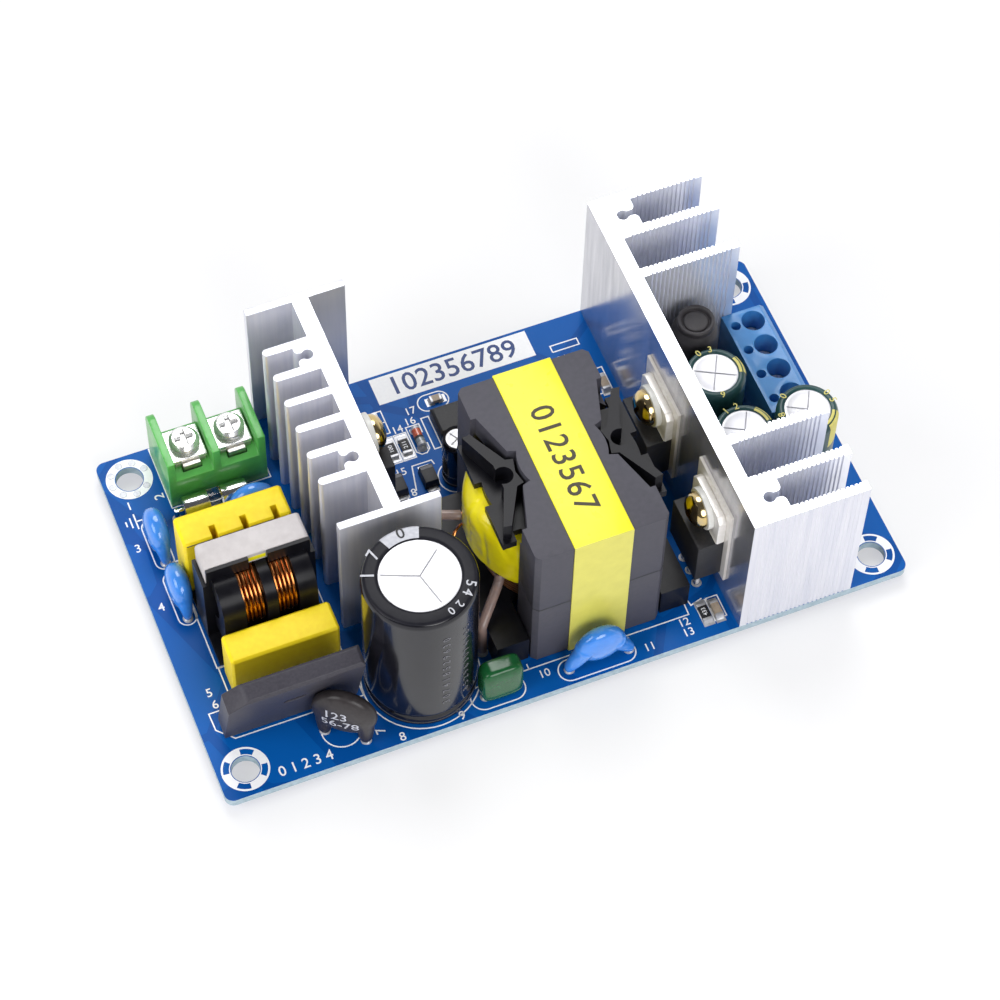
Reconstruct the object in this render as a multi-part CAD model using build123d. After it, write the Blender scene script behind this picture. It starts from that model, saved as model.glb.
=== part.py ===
from build123d import *
import os
from math import cos, radians, sin

# Switching power supply on a bare circuit board, sizes in millimetres.
# x runs along the board from the mains terminal to the output terminal, y to the back, z up.
# Heights are counted from the board's top face. On writing, everything is raised by the
# board's thickness, so the origin is the centre of the hole pattern on the board's underside.

# Board and what holds it
board_length = 116.0
board_width = 66.0
board_thick = 1.6
board_corner_r = 1.5
hole_r = 2.25
hole_inset_x = 4.55
hole_inset_y = 4.6

# Solder joints beneath the board and the leads that end in them
joint_r = 1.15
joint_tip_r = 0.45
joint_height = 1.7
lead_size = 0.8
thin_lead_size = 0.6
lead_sink = 0.6

# Mains terminal, a barrier block
ac_pitch = 7.62
ac_poles = 2
ac_centre_x = -40.4
ac_front_y = 20.8
ac_depth = 11.5
ac_height = 12.0
ac_wall = 1.3
ac_sill_height = 7.0
ac_sill_depth = 1.9
ac_deck_height = 7.7
ac_deck_depth = 9.5
ac_fin_round = 2.2
ac_screw_from_front = 5.2
ac_bore_floor = 2.4
ac_plate_thick = 0.8
ac_plate_width = 5.2
ac_plate_length = 6.2
ac_tab_width = 3.0
ac_tab_drop = 1.2
ac_pin_width = 1.0
ac_pin_thick = 0.7
ac_washer_width = 5.8
ac_washer_length = 6.1
ac_washer_thick = 0.7
ac_head_r = 2.5
ac_head_height = 1.7
ac_shank_r = 1.5
ac_shank_length = 6.0
ac_recess_reach = 1.55
ac_recess_depth = 0.95
recess_width = 0.8

# Output terminal, four poles with the screws in bores
dc_pitch = 5.08
dc_poles = 4
dc_centre_y = 5.95
dc_back_x = 53.4
dc_depth = 7.6
dc_height = 11.4
dc_bore_r = 1.95
dc_screw_from_back = 3.0
dc_probe_r = 0.82
dc_probe_from_back = 6.1
dc_probe_depth = 3.0
dc_cage_width = 3.6
dc_cage_depth = 4.4
dc_cage_height = 3.4
dc_cage_wall = 0.7
dc_cage_floor = 2.0
dc_pin_size = 0.9
dc_head_r = 1.87
dc_head_height = 1.4
dc_slot_width = 0.7
dc_shank_r = 1.05
dc_chamfer = 0.8

# Fit of one piece in another
press_clear = 0.05
loose_clear = 0.15
running_clear = 0.08
cut_over = 1.0

# Fuse
fuse_x = -42.0
fuse_y = 18.4
fuse_z = 2.3
fuse_length = 10.7
fuse_cap_length = 4.2
fuse_cap_r = 2.0
fuse_glass_r = 1.85
fuse_lead_r = 0.4
fuse_lead_reach = 1.2
fuse_glass_sink = 1.0
fuse_lead_sink = 0.3

# Line capacitors, two moulded boxes
rear_cap_centre = (-42.35, 7.3)
rear_cap_size = (17.9, 5.8, 14.3)
front_cap_centre = (-41.9, -13.5)
front_cap_size = (17.8, 5.4, 11.1)
box_cap_pitch = 15.0
box_cap_round = 0.4
groove_width = 1.0
groove_depth = 2.3
groove_spacing = 5.1
groove_floor = 2.0
groove_shift = 1.45

# Disc capacitors: leads and the lens between them
disc_thick = 3.2
disc_gap = 0.1
disc_c1_y = 14.95
disc_c2_y = 4.0
disc_c3 = (-37.0, 14.1)
disc_small_r = 3.7
disc_c3_r = 3.8
disc_c3_height = 5.6
disc_c8_r = 3.9
disc_small_pitch = 7.5
disc_c8_pitch = 10.1
disc_centre_height = 4.3
disc_c8_height = 5.4
disc_foot_height = 1.0
disc_lead_overlap = 0.3
thermistor_centre = (-37.0, -28.5)
thermistor_turn = -36.0
thermistor_r = 5.2
thermistor_thick = 3.4
thermistor_height = 7.9
thermistor_pitch = 6.6

# Line choke: frame with a middle leg, bobbin and two windings
choke_x = -41.95
choke_frame_y = -1.55
choke_frame_length = 17.1
choke_frame_depth = 4.7
choke_frame_bottom = 1.4
choke_frame_top = 20.0
choke_bar = 2.3
choke_side = 2.4
choke_frame_round = 0.8
choke_leg = 3.0
choke_bobbin_y = -2.9
choke_flange_depth = 13.8
choke_flange_round = 4.6
choke_hub_r = 4.7
choke_bore_r = 4.1
choke_winding_r = 6.4
choke_winding_width = 3.5
choke_winding_shift = 0.35
choke_turns = 5
choke_turn_groove = 0.35
choke_middle_flange = 1.8
choke_base_height = 1.2
choke_tab_drop = 0.15
choke_tab_thick = 0.6
choke_tab_gap = 3.1
choke_cheek_inset = 0.85
choke_side_plate_top = 16.0
choke_skirt_depth = 3.0
choke_pin_pitch_x = 12.5
choke_pin_pitch_y = 10.0

# Bridge rectifier, leaning forwards
bridge_x = -43.75
bridge_y = -20.9
bridge_width = 21.9
bridge_height = 18.4
bridge_thick = 3.4
bridge_lift = 1.0
bridge_lean = 15.5
bridge_corner = 3.0
bridge_pitch = 5.08
bridge_lead = 1.0
bridge_edge = 0.5
bridge_slot_x = 0.0
bridge_slot_height = 11.2
bridge_slot_length = 3.6
bridge_slot_width = 1.1
bridge_slot_depth = 0.6

# Bulk capacitor and the film capacitor beside it
bulk_centre = (-22.3, -22.8)
bulk_r = 9.0
bulk_height = 31.0
bulk_top_r = 6.5
bulk_pitch = 10.0
film_centre = (-11.75, -30.1)
film_size = (6.9, 3.6, 8.2)
film_round = 1.3
film_pitch = 5.0
film_lift = 0.6

# Heatsinks, two extrusions standing on the board
sink_height = 30.0
right_face_x = 28.1
right_base = 2.7
right_fin_reach = 19.5
right_fin = 1.7
output_bay_half = 16.15
right_fin_steps = (0.0, 7.0, board_width / 2 - right_fin - output_bay_half)
right_boss_reach = 6.7
right_keyhole_r = 1.0
left_face_x = -20.2
left_base = 2.8
left_front_y = -10.5
left_outer_fin = 1.3
left_outer_reach = 6.2
left_fin_reach = 10.4
left_fin = 1.4
left_fin_count = 6
left_fin_pitch = 5.08
left_fin_first = 8.35
left_boss_reach = 5.7
left_keyhole_r = 0.9
keyhole_neck = 1.1
keyhole_depth = 2.3
keyhole_round = 0.8
sink_pin_r = 1.0
sink_pin_inset = 12.0

# Transistor package bolted to a heatsink
pad_thick = 0.5
pad_width = 12.4
pad_bottom = 4.8
pad_top = 23.2
tab_thick = 1.3
tab_width = 9.9
tab_top = 21.2
tab_corner = 1.0
package_bottom = 5.6
package_top = 14.8
package_thick = 4.4
package_hole_z = 18.4
package_hole_r = 1.95
package_pitch = 2.54
package_lead_depth = 2.6
package_lead = 0.7
shoulder_r = 3.5
shoulder_thick = 1.0
shoulder_sleeve_r = 1.85
shoulder_sleeve = 1.2
tab_screw_r = 1.45
tab_head_r = 3.0
tab_head_height = 2.2
tab_head_edge = 0.6
tab_recess_reach = 1.8
tab_recess_depth = 1.3
tab_screw_short = 0.5
rectifier_back_y = 0.05
rectifier_front_y = -20.5
transistor_y = 11.25

# Transformer: two core halves, bobbin, winding and tape
core_x = 5.85
core_y = -10.4
core_width = 21.9
core_length = 33.3
core_bottom = 0.4
core_top = 31.0
core_plate = 4.5
core_post_r = 6.7
core_corner = 0.8
notch_half = 10.6
notch_step = 0.85
notch_waist = 7.85
notch_waist_half = 3.3
notch_hub_r = 7.1
notch_hub_half = 2.85
winding_shift = -0.95
winding_half_x = 14.5
winding_half_y = 13.2
winding_step = 12.6
winding_top_round = 4.0
winding_foot_round = 1.2
winding_inset = 2.6
flange_r = 12.6
flange_ear = 13.55
flange_ear_start = 2.2
flange_ear_end = 9.6
core_clear = 0.4
bobbin_clear = 0.1
bobbin_wall = 0.9
bobbin_flange = 1.4
bobbin_block_left = 16.65
bobbin_block_right = 16.15
bobbin_block_side_gap = 0.3
bobbin_block_front = 15.9
bobbin_block_back = 13.4
bobbin_foot = 0.5
bobbin_boss_top = 30.0
bobbin_boss_gap = 0.65
bobbin_boss_point = (7.25, 2.25)
bobbin_boss_nick = (8.45, 2.55)
bobbin_arm_inner = (11.84, 8.8)
bobbin_arm_outer = (13.15, 8.6)
bobbin_arm_root = (10.5, 2.2)
bobbin_boss_hole_r = 1.55
bobbin_boss_hole_at = 9.7
bobbin_pins = 6
bobbin_pin_pitch = 5.08
bobbin_pin_size = 0.9
tape_width = 9.7
tape_thick = 0.25
sleeve_r = 0.8
sleeve_gap = 0.15
front_lead_y = -6.6
front_lead_foot_y = -12.0
front_lead_in = 2.8
front_lead_drop = 1.6
front_lead_knee = 7.6
front_lead_bend = 1.0
rear_lead_y = 3.7
rear_lead_foot_y = 6.2
rear_lead_in = 0.3
rear_lead_reach = 5.8
rear_lead_height = 16.2
rear_lead_fall = 0.4
rear_lead_bend = 2.2

# Small parts round the transformer
start_cap_r = 2.5
start_cap_gap = 0.95
start_cap_centre = (-3.4, core_y + core_length / 2 + start_cap_gap + start_cap_r)
start_cap_height = 11.5
start_cap_top_r = 1.9
start_cap_pitch = 2.0
start_cap_crimp = 0.2
disc_c8_gap = 1.5
disc_c8 = (5.0, core_y - core_length / 2 - tape_thick - disc_c8_gap - disc_thick / 2)
chip_centre = (0.8, 19.4)
chip_size = (8.4, 5.4, 2.4)
chip_lift = 0.2
chip_legs = 4
chip_leg_pitch = 1.9
chip_leg_width = 0.5
chip_leg_reach = 1.0
chip_leg_sink = 0.3
chip_leg_thick = 0.35
chip_edge = 0.4
ceramic_sizes = (2.0, 1.25, 0.9)
ceramic_places = ((-1.3, 24.8, 0), (24.1, -28.5, 90), (26.0, 17.7, 90))
resistor_sizes = (3.2, 1.6, 0.6)
resistor_places = ((-11.7, 18.1, 90), (-9.3, 18.1, 90), (-12.3, 23.8, 90), (26.1, -28.3, 90))
glass_diode_centre = (-6.7, 18.6)
glass_diode_length = 3.5
glass_diode_r = 0.8
block_diode_size = (2.6, 3.6, 1.9)
block_diode_edge = 0.3
block_diode_places = ((-13.2, 10.9), (-7.9, 10.8))

# Output side, in the bay between the two inner fins of the right heatsink
output_inductor_r = 3.9
output_inductor_height = 21.0
output_inductor_lip_r = 2.95
output_inductor_slope = 1.6
output_inductor_lip = 0.55
output_inductor_inset = 0.5
output_inductor_pitch = 5.0
output_inductor_gap = 1.05
output_inductor_x = 38.4
output_cap_r = 5.0
output_cap_height = 20.0
output_cap_top_r = 3.85
output_cap_pitch = 5.0
output_cap_from_fin = 0.85
output_cap_from_base = 1.7
output_cap_gap_x = 0.9
output_cap_gap_y = 1.6
round_cap_edge = 0.7
round_cap_foot = 0.25
round_cap_lift = 0.2
round_cap_crimp = 0.35
round_cap_crimp_height = 2.5
round_cap_crimp_half = 0.6

nodes = {}
joint_points = []
drilled_points = []
standing = (Align.CENTER, Align.CENTER, Align.MIN)
hanging = (Align.CENTER, Align.CENTER, Align.MAX)


def block(x0, x1, y0, y1, z0, z1):
    """A box between two corners."""
    centre = Pos((x0 + x1) / 2, (y0 + y1) / 2, (z0 + z1) / 2)
    return centre * Box(x1 - x0, y1 - y0, z1 - z0)


def lead(x, y, height, size=lead_size):
    """A square lead from the board's top up into its part, with its joint beneath."""
    joint_points.append((x, y))
    return Pos(x, y, 0) * Box(size, size, height, align=standing)


def turned(points):
    """A turned form from radius and height pairs, the axis upright."""
    return revolve(Plane.XZ * make_face(Polyline(*points, close=True)), Axis.Z)


def round_along_x(radius, x0, x1):
    return Pos((x0 + x1) / 2, 0, 0) * Rot(0, 90, 0) * Cylinder(radius, x1 - x0)


def circuit_board():
    """The plate with its four mounting holes and the holes of the heatsinks' pins."""
    board = extrude(RectangleRounded(board_length, board_width, board_corner_r), -board_thick)
    hole_x = board_length / 2 - hole_inset_x
    hole_y = board_width / 2 - hole_inset_y
    for x in (-hole_x, hole_x):
        for y in (-hole_y, hole_y):
            board -= Pos(x, y, 0) * Cylinder(hole_r, 3 * board_thick)
    for x, y, radius in drilled_points:
        board -= Pos(x, y, 0) * Cylinder(radius + press_clear, 3 * board_thick)
    nodes["circuit_board"] = board


def solder_joints():
    """One fillet of solder for each lead, all as high, so that the board rests on their tips."""
    foot = RegularPolygon(joint_r, 6)
    tip = Pos(0, 0, -joint_height) * RegularPolygon(joint_tip_r, 6)
    fillet_of_solder = loft([foot, tip])
    joints = [Pos(x, y, -board_thick) * fillet_of_solder for x, y in joint_points]
    nodes["solder_joints"] = joints


def cross_recess(head_top, reach, depth):
    """The two crossing slots that a driver turns."""
    slot = Box(2 * reach, recess_width, depth, align=hanging)
    return Pos(0, 0, head_top) * (slot + Rot(0, 0, 90) * slot)


def mains_terminal():
    """Barrier block: housing, two contacts, two screws, each with its square captive washer."""
    first_x = ac_centre_x - ac_pitch * (ac_poles - 1) / 2
    pole_xs = [first_x + ac_pitch * i for i in range(ac_poles)]
    half = ac_pitch * ac_poles / 2
    sill_y = ac_front_y + ac_sill_depth
    deck_y = ac_front_y + ac_deck_depth
    back_y = ac_front_y + ac_depth
    screw_y = ac_front_y + ac_screw_from_front
    deck = [(ac_front_y, 0), (ac_front_y, ac_sill_height), (sill_y, ac_deck_height),
            (deck_y, ac_deck_height), (deck_y, 0)]
    floor_block = extrude(Plane.YZ * make_face(Polyline(*deck, close=True)), half, both=True)
    wall = block(-ac_wall / 2, ac_wall / 2, ac_front_y, back_y, 0, ac_height)
    wall = fillet(wall.edges().filter_by(Axis.X).group_by(Axis.Z)[-1].sort_by(Axis.Y)[-1], ac_fin_round)
    housing = Pos(ac_centre_x, 0, 0) * floor_block
    for i in range(ac_poles + 1):
        housing += Pos(ac_centre_x - half + ac_pitch * i, 0, 0) * wall
    plate_front = screw_y - ac_plate_length / 2
    plate_back = screw_y + ac_plate_length / 2
    plate_top = ac_deck_height + ac_plate_thick
    tab_front = plate_front - ac_plate_thick
    contacts = []
    for number, x in enumerate(pole_xs, 1):
        housing -= Pos(x, screw_y, ac_bore_floor) * Cylinder(
            ac_shank_r + loose_clear, ac_deck_height, align=standing)
        housing -= block(x - ac_pin_width / 2 - press_clear, x + ac_pin_width / 2 + press_clear,
                         plate_back - ac_pin_thick - press_clear, plate_back + press_clear,
                         -cut_over, ac_deck_height + cut_over)
        housing -= block(x - ac_tab_width / 2 - loose_clear, x + ac_tab_width / 2 + loose_clear,
                         tab_front - loose_clear, plate_front + ac_plate_thick,
                         ac_deck_height - ac_tab_drop - loose_clear, ac_height)
        contact = block(x - ac_plate_width / 2, x + ac_plate_width / 2, plate_front, plate_back,
                        ac_deck_height, plate_top)
        contact += block(x - ac_tab_width / 2, x + ac_tab_width / 2, tab_front, plate_front,
                         ac_deck_height - ac_tab_drop, plate_top)
        contact += block(x - ac_pin_width / 2, x + ac_pin_width / 2, plate_back - ac_pin_thick,
                         plate_back, 0, ac_deck_height)
        contact -= Pos(x, screw_y, ac_deck_height) * Cylinder(
            ac_shank_r + press_clear, 2 * ac_height)
        joint_points.append((x, plate_back - ac_pin_thick / 2))
        contacts.append(contact)
        washer = Box(ac_washer_width, ac_washer_length, ac_washer_thick, align=standing)
        washer -= Cylinder(ac_shank_r + loose_clear, 2 * ac_height)
        head = Cylinder(ac_head_r, ac_head_height, align=standing)
        head = chamfer(head.edges().group_by(Axis.Z)[-1], ac_head_height / 3)
        head -= cross_recess(ac_head_height, ac_recess_reach, ac_recess_depth)
        screw = head + Cylinder(ac_shank_r, ac_shank_length, align=hanging)
        nodes[f"ac_washer_{number}"] = Pos(x, screw_y, plate_top) * washer
        nodes[f"ac_screw_{number}"] = Pos(x, screw_y, plate_top + ac_washer_thick) * screw
    nodes["ac_terminal_housing"] = housing
    nodes["ac_terminal_contacts"] = contacts


def output_terminal():
    """Housing with bores and wire mouths, a cage in each mouth and a screw over each cage."""
    front_x = dc_back_x - dc_depth
    half = dc_pitch * dc_poles / 2
    screw_x = dc_back_x - dc_screw_from_back
    cage_top = dc_cage_floor + dc_cage_height
    housing = block(front_x, dc_back_x, dc_centre_y - half, dc_centre_y + half, 0, dc_height)
    top_outer = housing.edges().filter_by(Axis.Y).group_by(Axis.Z)[-1].sort_by(Axis.X)[-1]
    housing = chamfer(top_outer, dc_chamfer)
    cages = []
    for i in range(dc_poles):
        y = dc_centre_y + dc_pitch * ((dc_poles - 1) / 2 - i)
        mouth = dc_cage_width / 2 + press_clear
        housing -= block(screw_x - dc_cage_depth / 2 - press_clear, dc_back_x + cut_over,
                         y - mouth, y + mouth,
                         dc_cage_floor - press_clear, cage_top + press_clear)
        housing -= Pos(screw_x, y, cage_top) * Cylinder(dc_bore_r, dc_height, align=standing)
        housing -= Pos(dc_back_x - dc_probe_from_back, y, dc_height) * Cylinder(
            dc_probe_r, 2 * dc_probe_depth)
        pin_hole = dc_pin_size / 2 + press_clear
        housing -= block(screw_x - pin_hole, screw_x + pin_hole, y - pin_hole, y + pin_hole,
                         -cut_over, dc_cage_floor)
        cage = Box(dc_cage_depth, dc_cage_width, dc_cage_height, align=standing)
        inside_width = dc_cage_width - 2 * dc_cage_wall
        inside_height = dc_cage_height - 2 * dc_cage_wall
        cage -= Pos(0, 0, dc_cage_wall) * Box(2 * dc_cage_depth, inside_width, inside_height,
                                              align=standing)
        cage -= Pos(0, 0, dc_cage_height) * Cylinder(dc_shank_r + running_clear, 3 * dc_cage_wall)
        pin = Box(dc_pin_size, dc_pin_size, dc_cage_floor, align=hanging)
        cages.append(Pos(screw_x, y, dc_cage_floor) * (cage + pin))
        joint_points.append((screw_x, y))
        head = Cylinder(dc_head_r, dc_head_height, align=standing)
        head -= Pos(0, 0, dc_head_height) * Box(2 * dc_head_r, dc_slot_width, dc_head_height)
        shank_length = dc_cage_height - dc_cage_wall - 2 * press_clear
        screw = head + Cylinder(dc_shank_r, shank_length, align=hanging)
        nodes[f"dc_screw_{i + 1}"] = Pos(screw_x, y, cage_top + press_clear) * screw
    nodes["dc_terminal_housing"] = housing
    nodes["dc_terminal_cages"] = cages


def fuse():
    """Glass tube in two metal caps, a wire from each cap down to the board."""
    half = fuse_length / 2
    middle = Pos(fuse_x, fuse_y, fuse_z)
    glass_half = half - fuse_cap_length + fuse_glass_sink
    nodes["fuse_glass"] = middle * round_along_x(fuse_glass_r, -glass_half, glass_half)
    caps = []
    for side in (-1, 1):
        cap = round_along_x(fuse_cap_r, half - fuse_cap_length, half)
        cap -= round_along_x(fuse_glass_r, 0, glass_half)
        end = half + fuse_lead_reach
        cap += round_along_x(fuse_lead_r, half - fuse_lead_sink, end)
        cap += Pos(end, 0, fuse_lead_r) * Cylinder(fuse_lead_r, fuse_z + fuse_lead_r, align=hanging)
        caps.append(middle * Rot(0, 0, 0 if side > 0 else 180) * cap)
        joint_points.append((fuse_x + side * end, fuse_y))
    nodes["fuse_caps"] = caps


def line_capacitors():
    """Two moulded boxes. The rear one has three cooling grooves in its front."""
    for name, centre, size, grooves in (("rear", rear_cap_centre, rear_cap_size, 3),
                                        ("front", front_cap_centre, front_cap_size, 0)):
        body = Pos(0, 0, round_cap_lift) * Box(size[0], size[1], size[2] - round_cap_lift, align=standing)
        body = chamfer(body.edges().filter_by(Axis.Z) + body.edges().group_by(Axis.Z)[-1],
                       box_cap_round)
        for i in range(grooves):
            x = (i - (grooves - 1) / 2) * groove_spacing + groove_shift
            body -= block(x - groove_width / 2, x + groove_width / 2, -size[1] / 2 - cut_over,
                          -size[1] / 2 + groove_depth, groove_floor, size[2] + cut_over)
        body = Pos(*centre) * body
        for side in (-1, 1):
            body += lead(centre[0] + side * box_cap_pitch / 2, centre[1], lead_sink)
        nodes[f"line_capacitor_{name}"] = body


def lens(radius, thick):
    """A coated disc standing on edge, its axis along y."""
    flat = radius * 0.45
    rim = thick * 0.12
    half = [(0, -thick / 2), (flat, -thick / 2), (radius * 0.85, -thick * 0.28), (radius, -rim),
            (radius, rim), (radius * 0.85, thick * 0.28), (flat, thick / 2), (0, thick / 2)]
    return Rot(90, 0, 0) * turned(half)


def disc_part(centre, turn, radius, thick, height, pitch):
    """A coated disc with its two leads; turn is the way its face runs."""
    body = Pos(0, 0, height) * lens(radius, thick)
    reach = radians(turn)
    spread = min(pitch, 1.7 * radius) / 2
    for side in (-1, 1):
        x = centre[0] + side * cos(reach) * pitch / 2
        y = centre[1] + side * sin(reach) * pitch / 2
        foot = lead(x, y, disc_foot_height, thin_lead_size)
        body += Rot(0, 0, -turn) * Pos(-centre[0], -centre[1], 0) * foot
        start = (side * pitch / 2, 0, disc_foot_height - disc_lead_overlap)
        end = (side * spread, 0, height)
        wire = Line(start, end)
        section = Plane(origin=start, z_dir=wire % 0) * Rectangle(thin_lead_size, thin_lead_size)
        body += sweep(section, path=wire)
    return Pos(*centre) * Rot(0, 0, turn) * body


def disc_capacitors():
    beside_box = rear_cap_centre[0] - rear_cap_size[0] / 2 - disc_gap - disc_thick / 2
    nodes["disc_capacitor_1"] = disc_part((beside_box, disc_c1_y), 90, disc_small_r,
                                          disc_thick, disc_centre_height, disc_small_pitch)
    nodes["disc_capacitor_2"] = disc_part((beside_box, disc_c2_y), 90, disc_small_r,
                                          disc_thick, disc_centre_height, disc_small_pitch)
    nodes["disc_capacitor_3"] = disc_part(disc_c3, 0, disc_c3_r, disc_thick,
                                          disc_c3_height, disc_small_pitch)
    nodes["disc_capacitor_4"] = disc_part(disc_c8, 0, disc_c8_r, disc_thick,
                                          disc_c8_height, disc_c8_pitch)
    nodes["thermistor"] = disc_part(thermistor_centre, thermistor_turn, thermistor_r,
                                    thermistor_thick, thermistor_height, thermistor_pitch)


def line_choke():
    """Ferrite frame whose middle leg carries a three-flanged bobbin with two windings."""
    middle_z = (choke_frame_bottom + choke_frame_top) / 2
    frame_height = choke_frame_top - choke_frame_bottom
    window = frame_height - 2 * choke_bar
    frame = Box(choke_frame_length, choke_frame_depth, frame_height)
    frame = fillet(frame.edges().filter_by(Axis.Y), choke_frame_round)
    frame -= Box(choke_frame_length - 2 * choke_side, 2 * choke_frame_depth, window)
    frame += Box(choke_frame_length - choke_side, choke_frame_depth, choke_leg)
    nodes["choke_core"] = Pos(choke_x, choke_frame_y, middle_z) * frame
    half = choke_frame_length / 2 - choke_side - loose_clear
    cheek = choke_frame_length / 2 - choke_cheek_inset
    front = choke_frame_y - choke_frame_depth / 2 - press_clear
    flange_outline = RectangleRounded(window - 2 * loose_clear, choke_flange_depth, choke_flange_round)
    middle_half = choke_middle_flange / 2
    inner = middle_half + choke_winding_width
    shift = choke_winding_shift
    behind = block(-cheek - cut_over, cheek + cut_over, front - choke_bobbin_y, choke_flange_depth,
                   -frame_height, frame_height)
    bobbin = Rot(0, 90, 0) * extrude(flange_outline, cheek, both=True) - behind
    bobbin += Rot(0, 90, 0) * extrude(flange_outline, half, both=True)
    for x0, x1 in ((shift - inner, shift - middle_half), (shift + middle_half, shift + inner)):
        room = block(x0, x1, -choke_flange_depth, choke_flange_depth, -frame_height, frame_height)
        bobbin -= room - round_along_x(choke_hub_r, x0, x1)
    bobbin -= round_along_x(choke_bore_r, -2 * cheek, 2 * cheek)
    bobbin = Pos(choke_x, choke_bobbin_y, middle_z) * bobbin
    base_front = choke_bobbin_y - choke_flange_depth / 2
    base_back = choke_bobbin_y + choke_flange_depth / 2
    plate_near = choke_frame_length / 2 + press_clear
    plate_far = plate_near + choke_tab_thick
    bobbin += block(choke_x - plate_far, choke_x + plate_far, base_front, base_back,
                    0, choke_base_height)
    window_floor = choke_frame_bottom + choke_bar
    tab_top = choke_frame_top - choke_tab_drop
    tab_bottom = middle_z + choke_winding_r + loose_clear
    sunk = choke_base_height / 2
    for side in (-1, 1):
        parts = (
            (cheek, shift * side + inner, base_front, base_front + choke_skirt_depth,
             sunk, window_floor + choke_flange_round),
            (choke_tab_gap / 2, plate_near - loose_clear, front - choke_tab_thick, front,
             tab_bottom, tab_top),
            (half, plate_near - loose_clear, front - choke_tab_thick, front, sunk, tab_top),
            (half, plate_far, front - choke_tab_thick, front, sunk, choke_side_plate_top),
            (plate_near, plate_far, front - choke_tab_thick, choke_frame_y + choke_frame_depth / 2,
             sunk, choke_side_plate_top))
        for x0, x1, y0, y1, z0, z1 in parts:
            ends = sorted((side * x0, side * x1))
            bobbin += Pos(choke_x, 0, 0) * block(ends[0], ends[1], y0, y1, z0, z1)
    nodes["choke_bobbin"] = bobbin
    windings = []
    start = middle_half + press_clear
    turn_pitch = (inner - press_clear - start) / choke_turns
    groove_r = choke_winding_r - choke_turn_groove
    profile = [(choke_hub_r + press_clear, start), (groove_r, start)]
    for i in range(choke_turns):
        at = start + turn_pitch * i
        profile += [(choke_winding_r, at + turn_pitch * 0.3), (choke_winding_r, at + turn_pitch * 0.7),
                    (groove_r, at + turn_pitch)]
    profile.append((choke_hub_r + press_clear, inner - press_clear))
    for side in (-1, 1):
        coil = Rot(0, 90 * side, 0) * turned(profile)
        windings.append(Pos(choke_x + choke_winding_shift, choke_bobbin_y, middle_z) * coil)
    nodes["choke_windings"] = windings
    for x in (-1, 1):
        for y in (-1, 1):
            joint_points.append((choke_x + x * choke_pin_pitch_x / 2,
                                 choke_bobbin_y + y * choke_pin_pitch_y / 2))


def bridge_rectifier():
    """Flat package with one cut corner, leaning forwards over its four leads."""
    w = bridge_width / 2
    outline = [(-w, 0), (w, 0), (w, bridge_height), (-w + bridge_corner, bridge_height),
               (-w, bridge_height - bridge_corner)]
    body = extrude(Plane.XZ * make_face(Polyline(*outline, close=True)), bridge_thick / 2, both=True)
    body = chamfer(body.edges().group_by(Axis.Z)[-1], bridge_edge)
    slot = extrude(SlotOverall(bridge_slot_length, bridge_slot_width), bridge_slot_depth, both=True)
    body -= Pos(bridge_slot_x, -bridge_thick / 2, bridge_slot_height) * Rot(90, 0, 0) * slot
    body = Pos(bridge_x, bridge_y, bridge_lift) * Rot(bridge_lean, 0, 0) * body
    for i in range(4):
        body += lead(bridge_x + (i - 1.5) * bridge_pitch, bridge_y, bridge_lift + lead_sink, bridge_lead)
    nodes["bridge_rectifier"] = body


def can_capacitor(centre, radius, height, top_r, pitch, crimp=round_cap_crimp):
    """Sleeved can: the sleeve turns over the top edge, with a crimped groove above the foot."""
    edge = round_cap_edge
    groove = round_cap_crimp_height
    half = round_cap_crimp_half
    foot = round_cap_foot
    profile = [(0, round_cap_lift), (radius - foot, round_cap_lift), (radius, round_cap_lift + foot),
               (radius, groove - half), (radius - crimp, groove), (radius, groove + half),
               (radius, height - edge), (radius - edge, height), (top_r, height),
               (top_r, height - crimp), (0, height - crimp)]
    body = Pos(*centre) * turned(profile)
    for side in (-1, 1):
        body += lead(centre[0] + side * pitch / 2, centre[1], lead_sink)
    return body


def can_capacitors():
    nodes["bulk_capacitor"] = can_capacitor(bulk_centre, bulk_r, bulk_height, bulk_top_r, bulk_pitch)
    near_x = right_face_x + right_base + output_cap_from_base + output_cap_r
    far_x = near_x + 2 * output_cap_r + output_cap_gap_x
    front_y = -(output_bay_half - output_cap_from_fin - output_cap_r)
    back_y = front_y + 2 * output_cap_r + output_cap_gap_y
    for number, centre in enumerate(((near_x, back_y), (near_x, front_y), (far_x, front_y)), 1):
        nodes[f"output_capacitor_{number}"] = can_capacitor(
            centre, output_cap_r, output_cap_height, output_cap_top_r, output_cap_pitch)
    nodes["start_capacitor"] = can_capacitor(start_cap_centre, start_cap_r, start_cap_height,
                                             start_cap_top_r, start_cap_pitch, start_cap_crimp)


def film_capacitor():
    body = Pos(0, 0, film_lift) * Box(film_size[0], film_size[1], film_size[2] - film_lift,
                                      align=standing)
    body = fillet(body.edges().filter_by(Axis.Z), film_round)
    body = chamfer(body.edges().group_by(Axis.Z)[-1], film_round * 0.6)
    body = Pos(*film_centre) * body
    for side in (-1, 1):
        body += lead(film_centre[0] + side * film_pitch / 2, film_centre[1], lead_sink + film_lift,
                     thin_lead_size)
    nodes["film_capacitor"] = body


def keyhole(centre_x, y, radius, mouth_x):
    """Screw channel seen from above: a round hole with a narrow neck out to the boss's face."""
    neck = Pos((centre_x + mouth_x) / 2, y) * Rectangle(abs(mouth_x - centre_x), keyhole_neck)
    return Pos(centre_x, y) * Circle(radius) + neck


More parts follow.
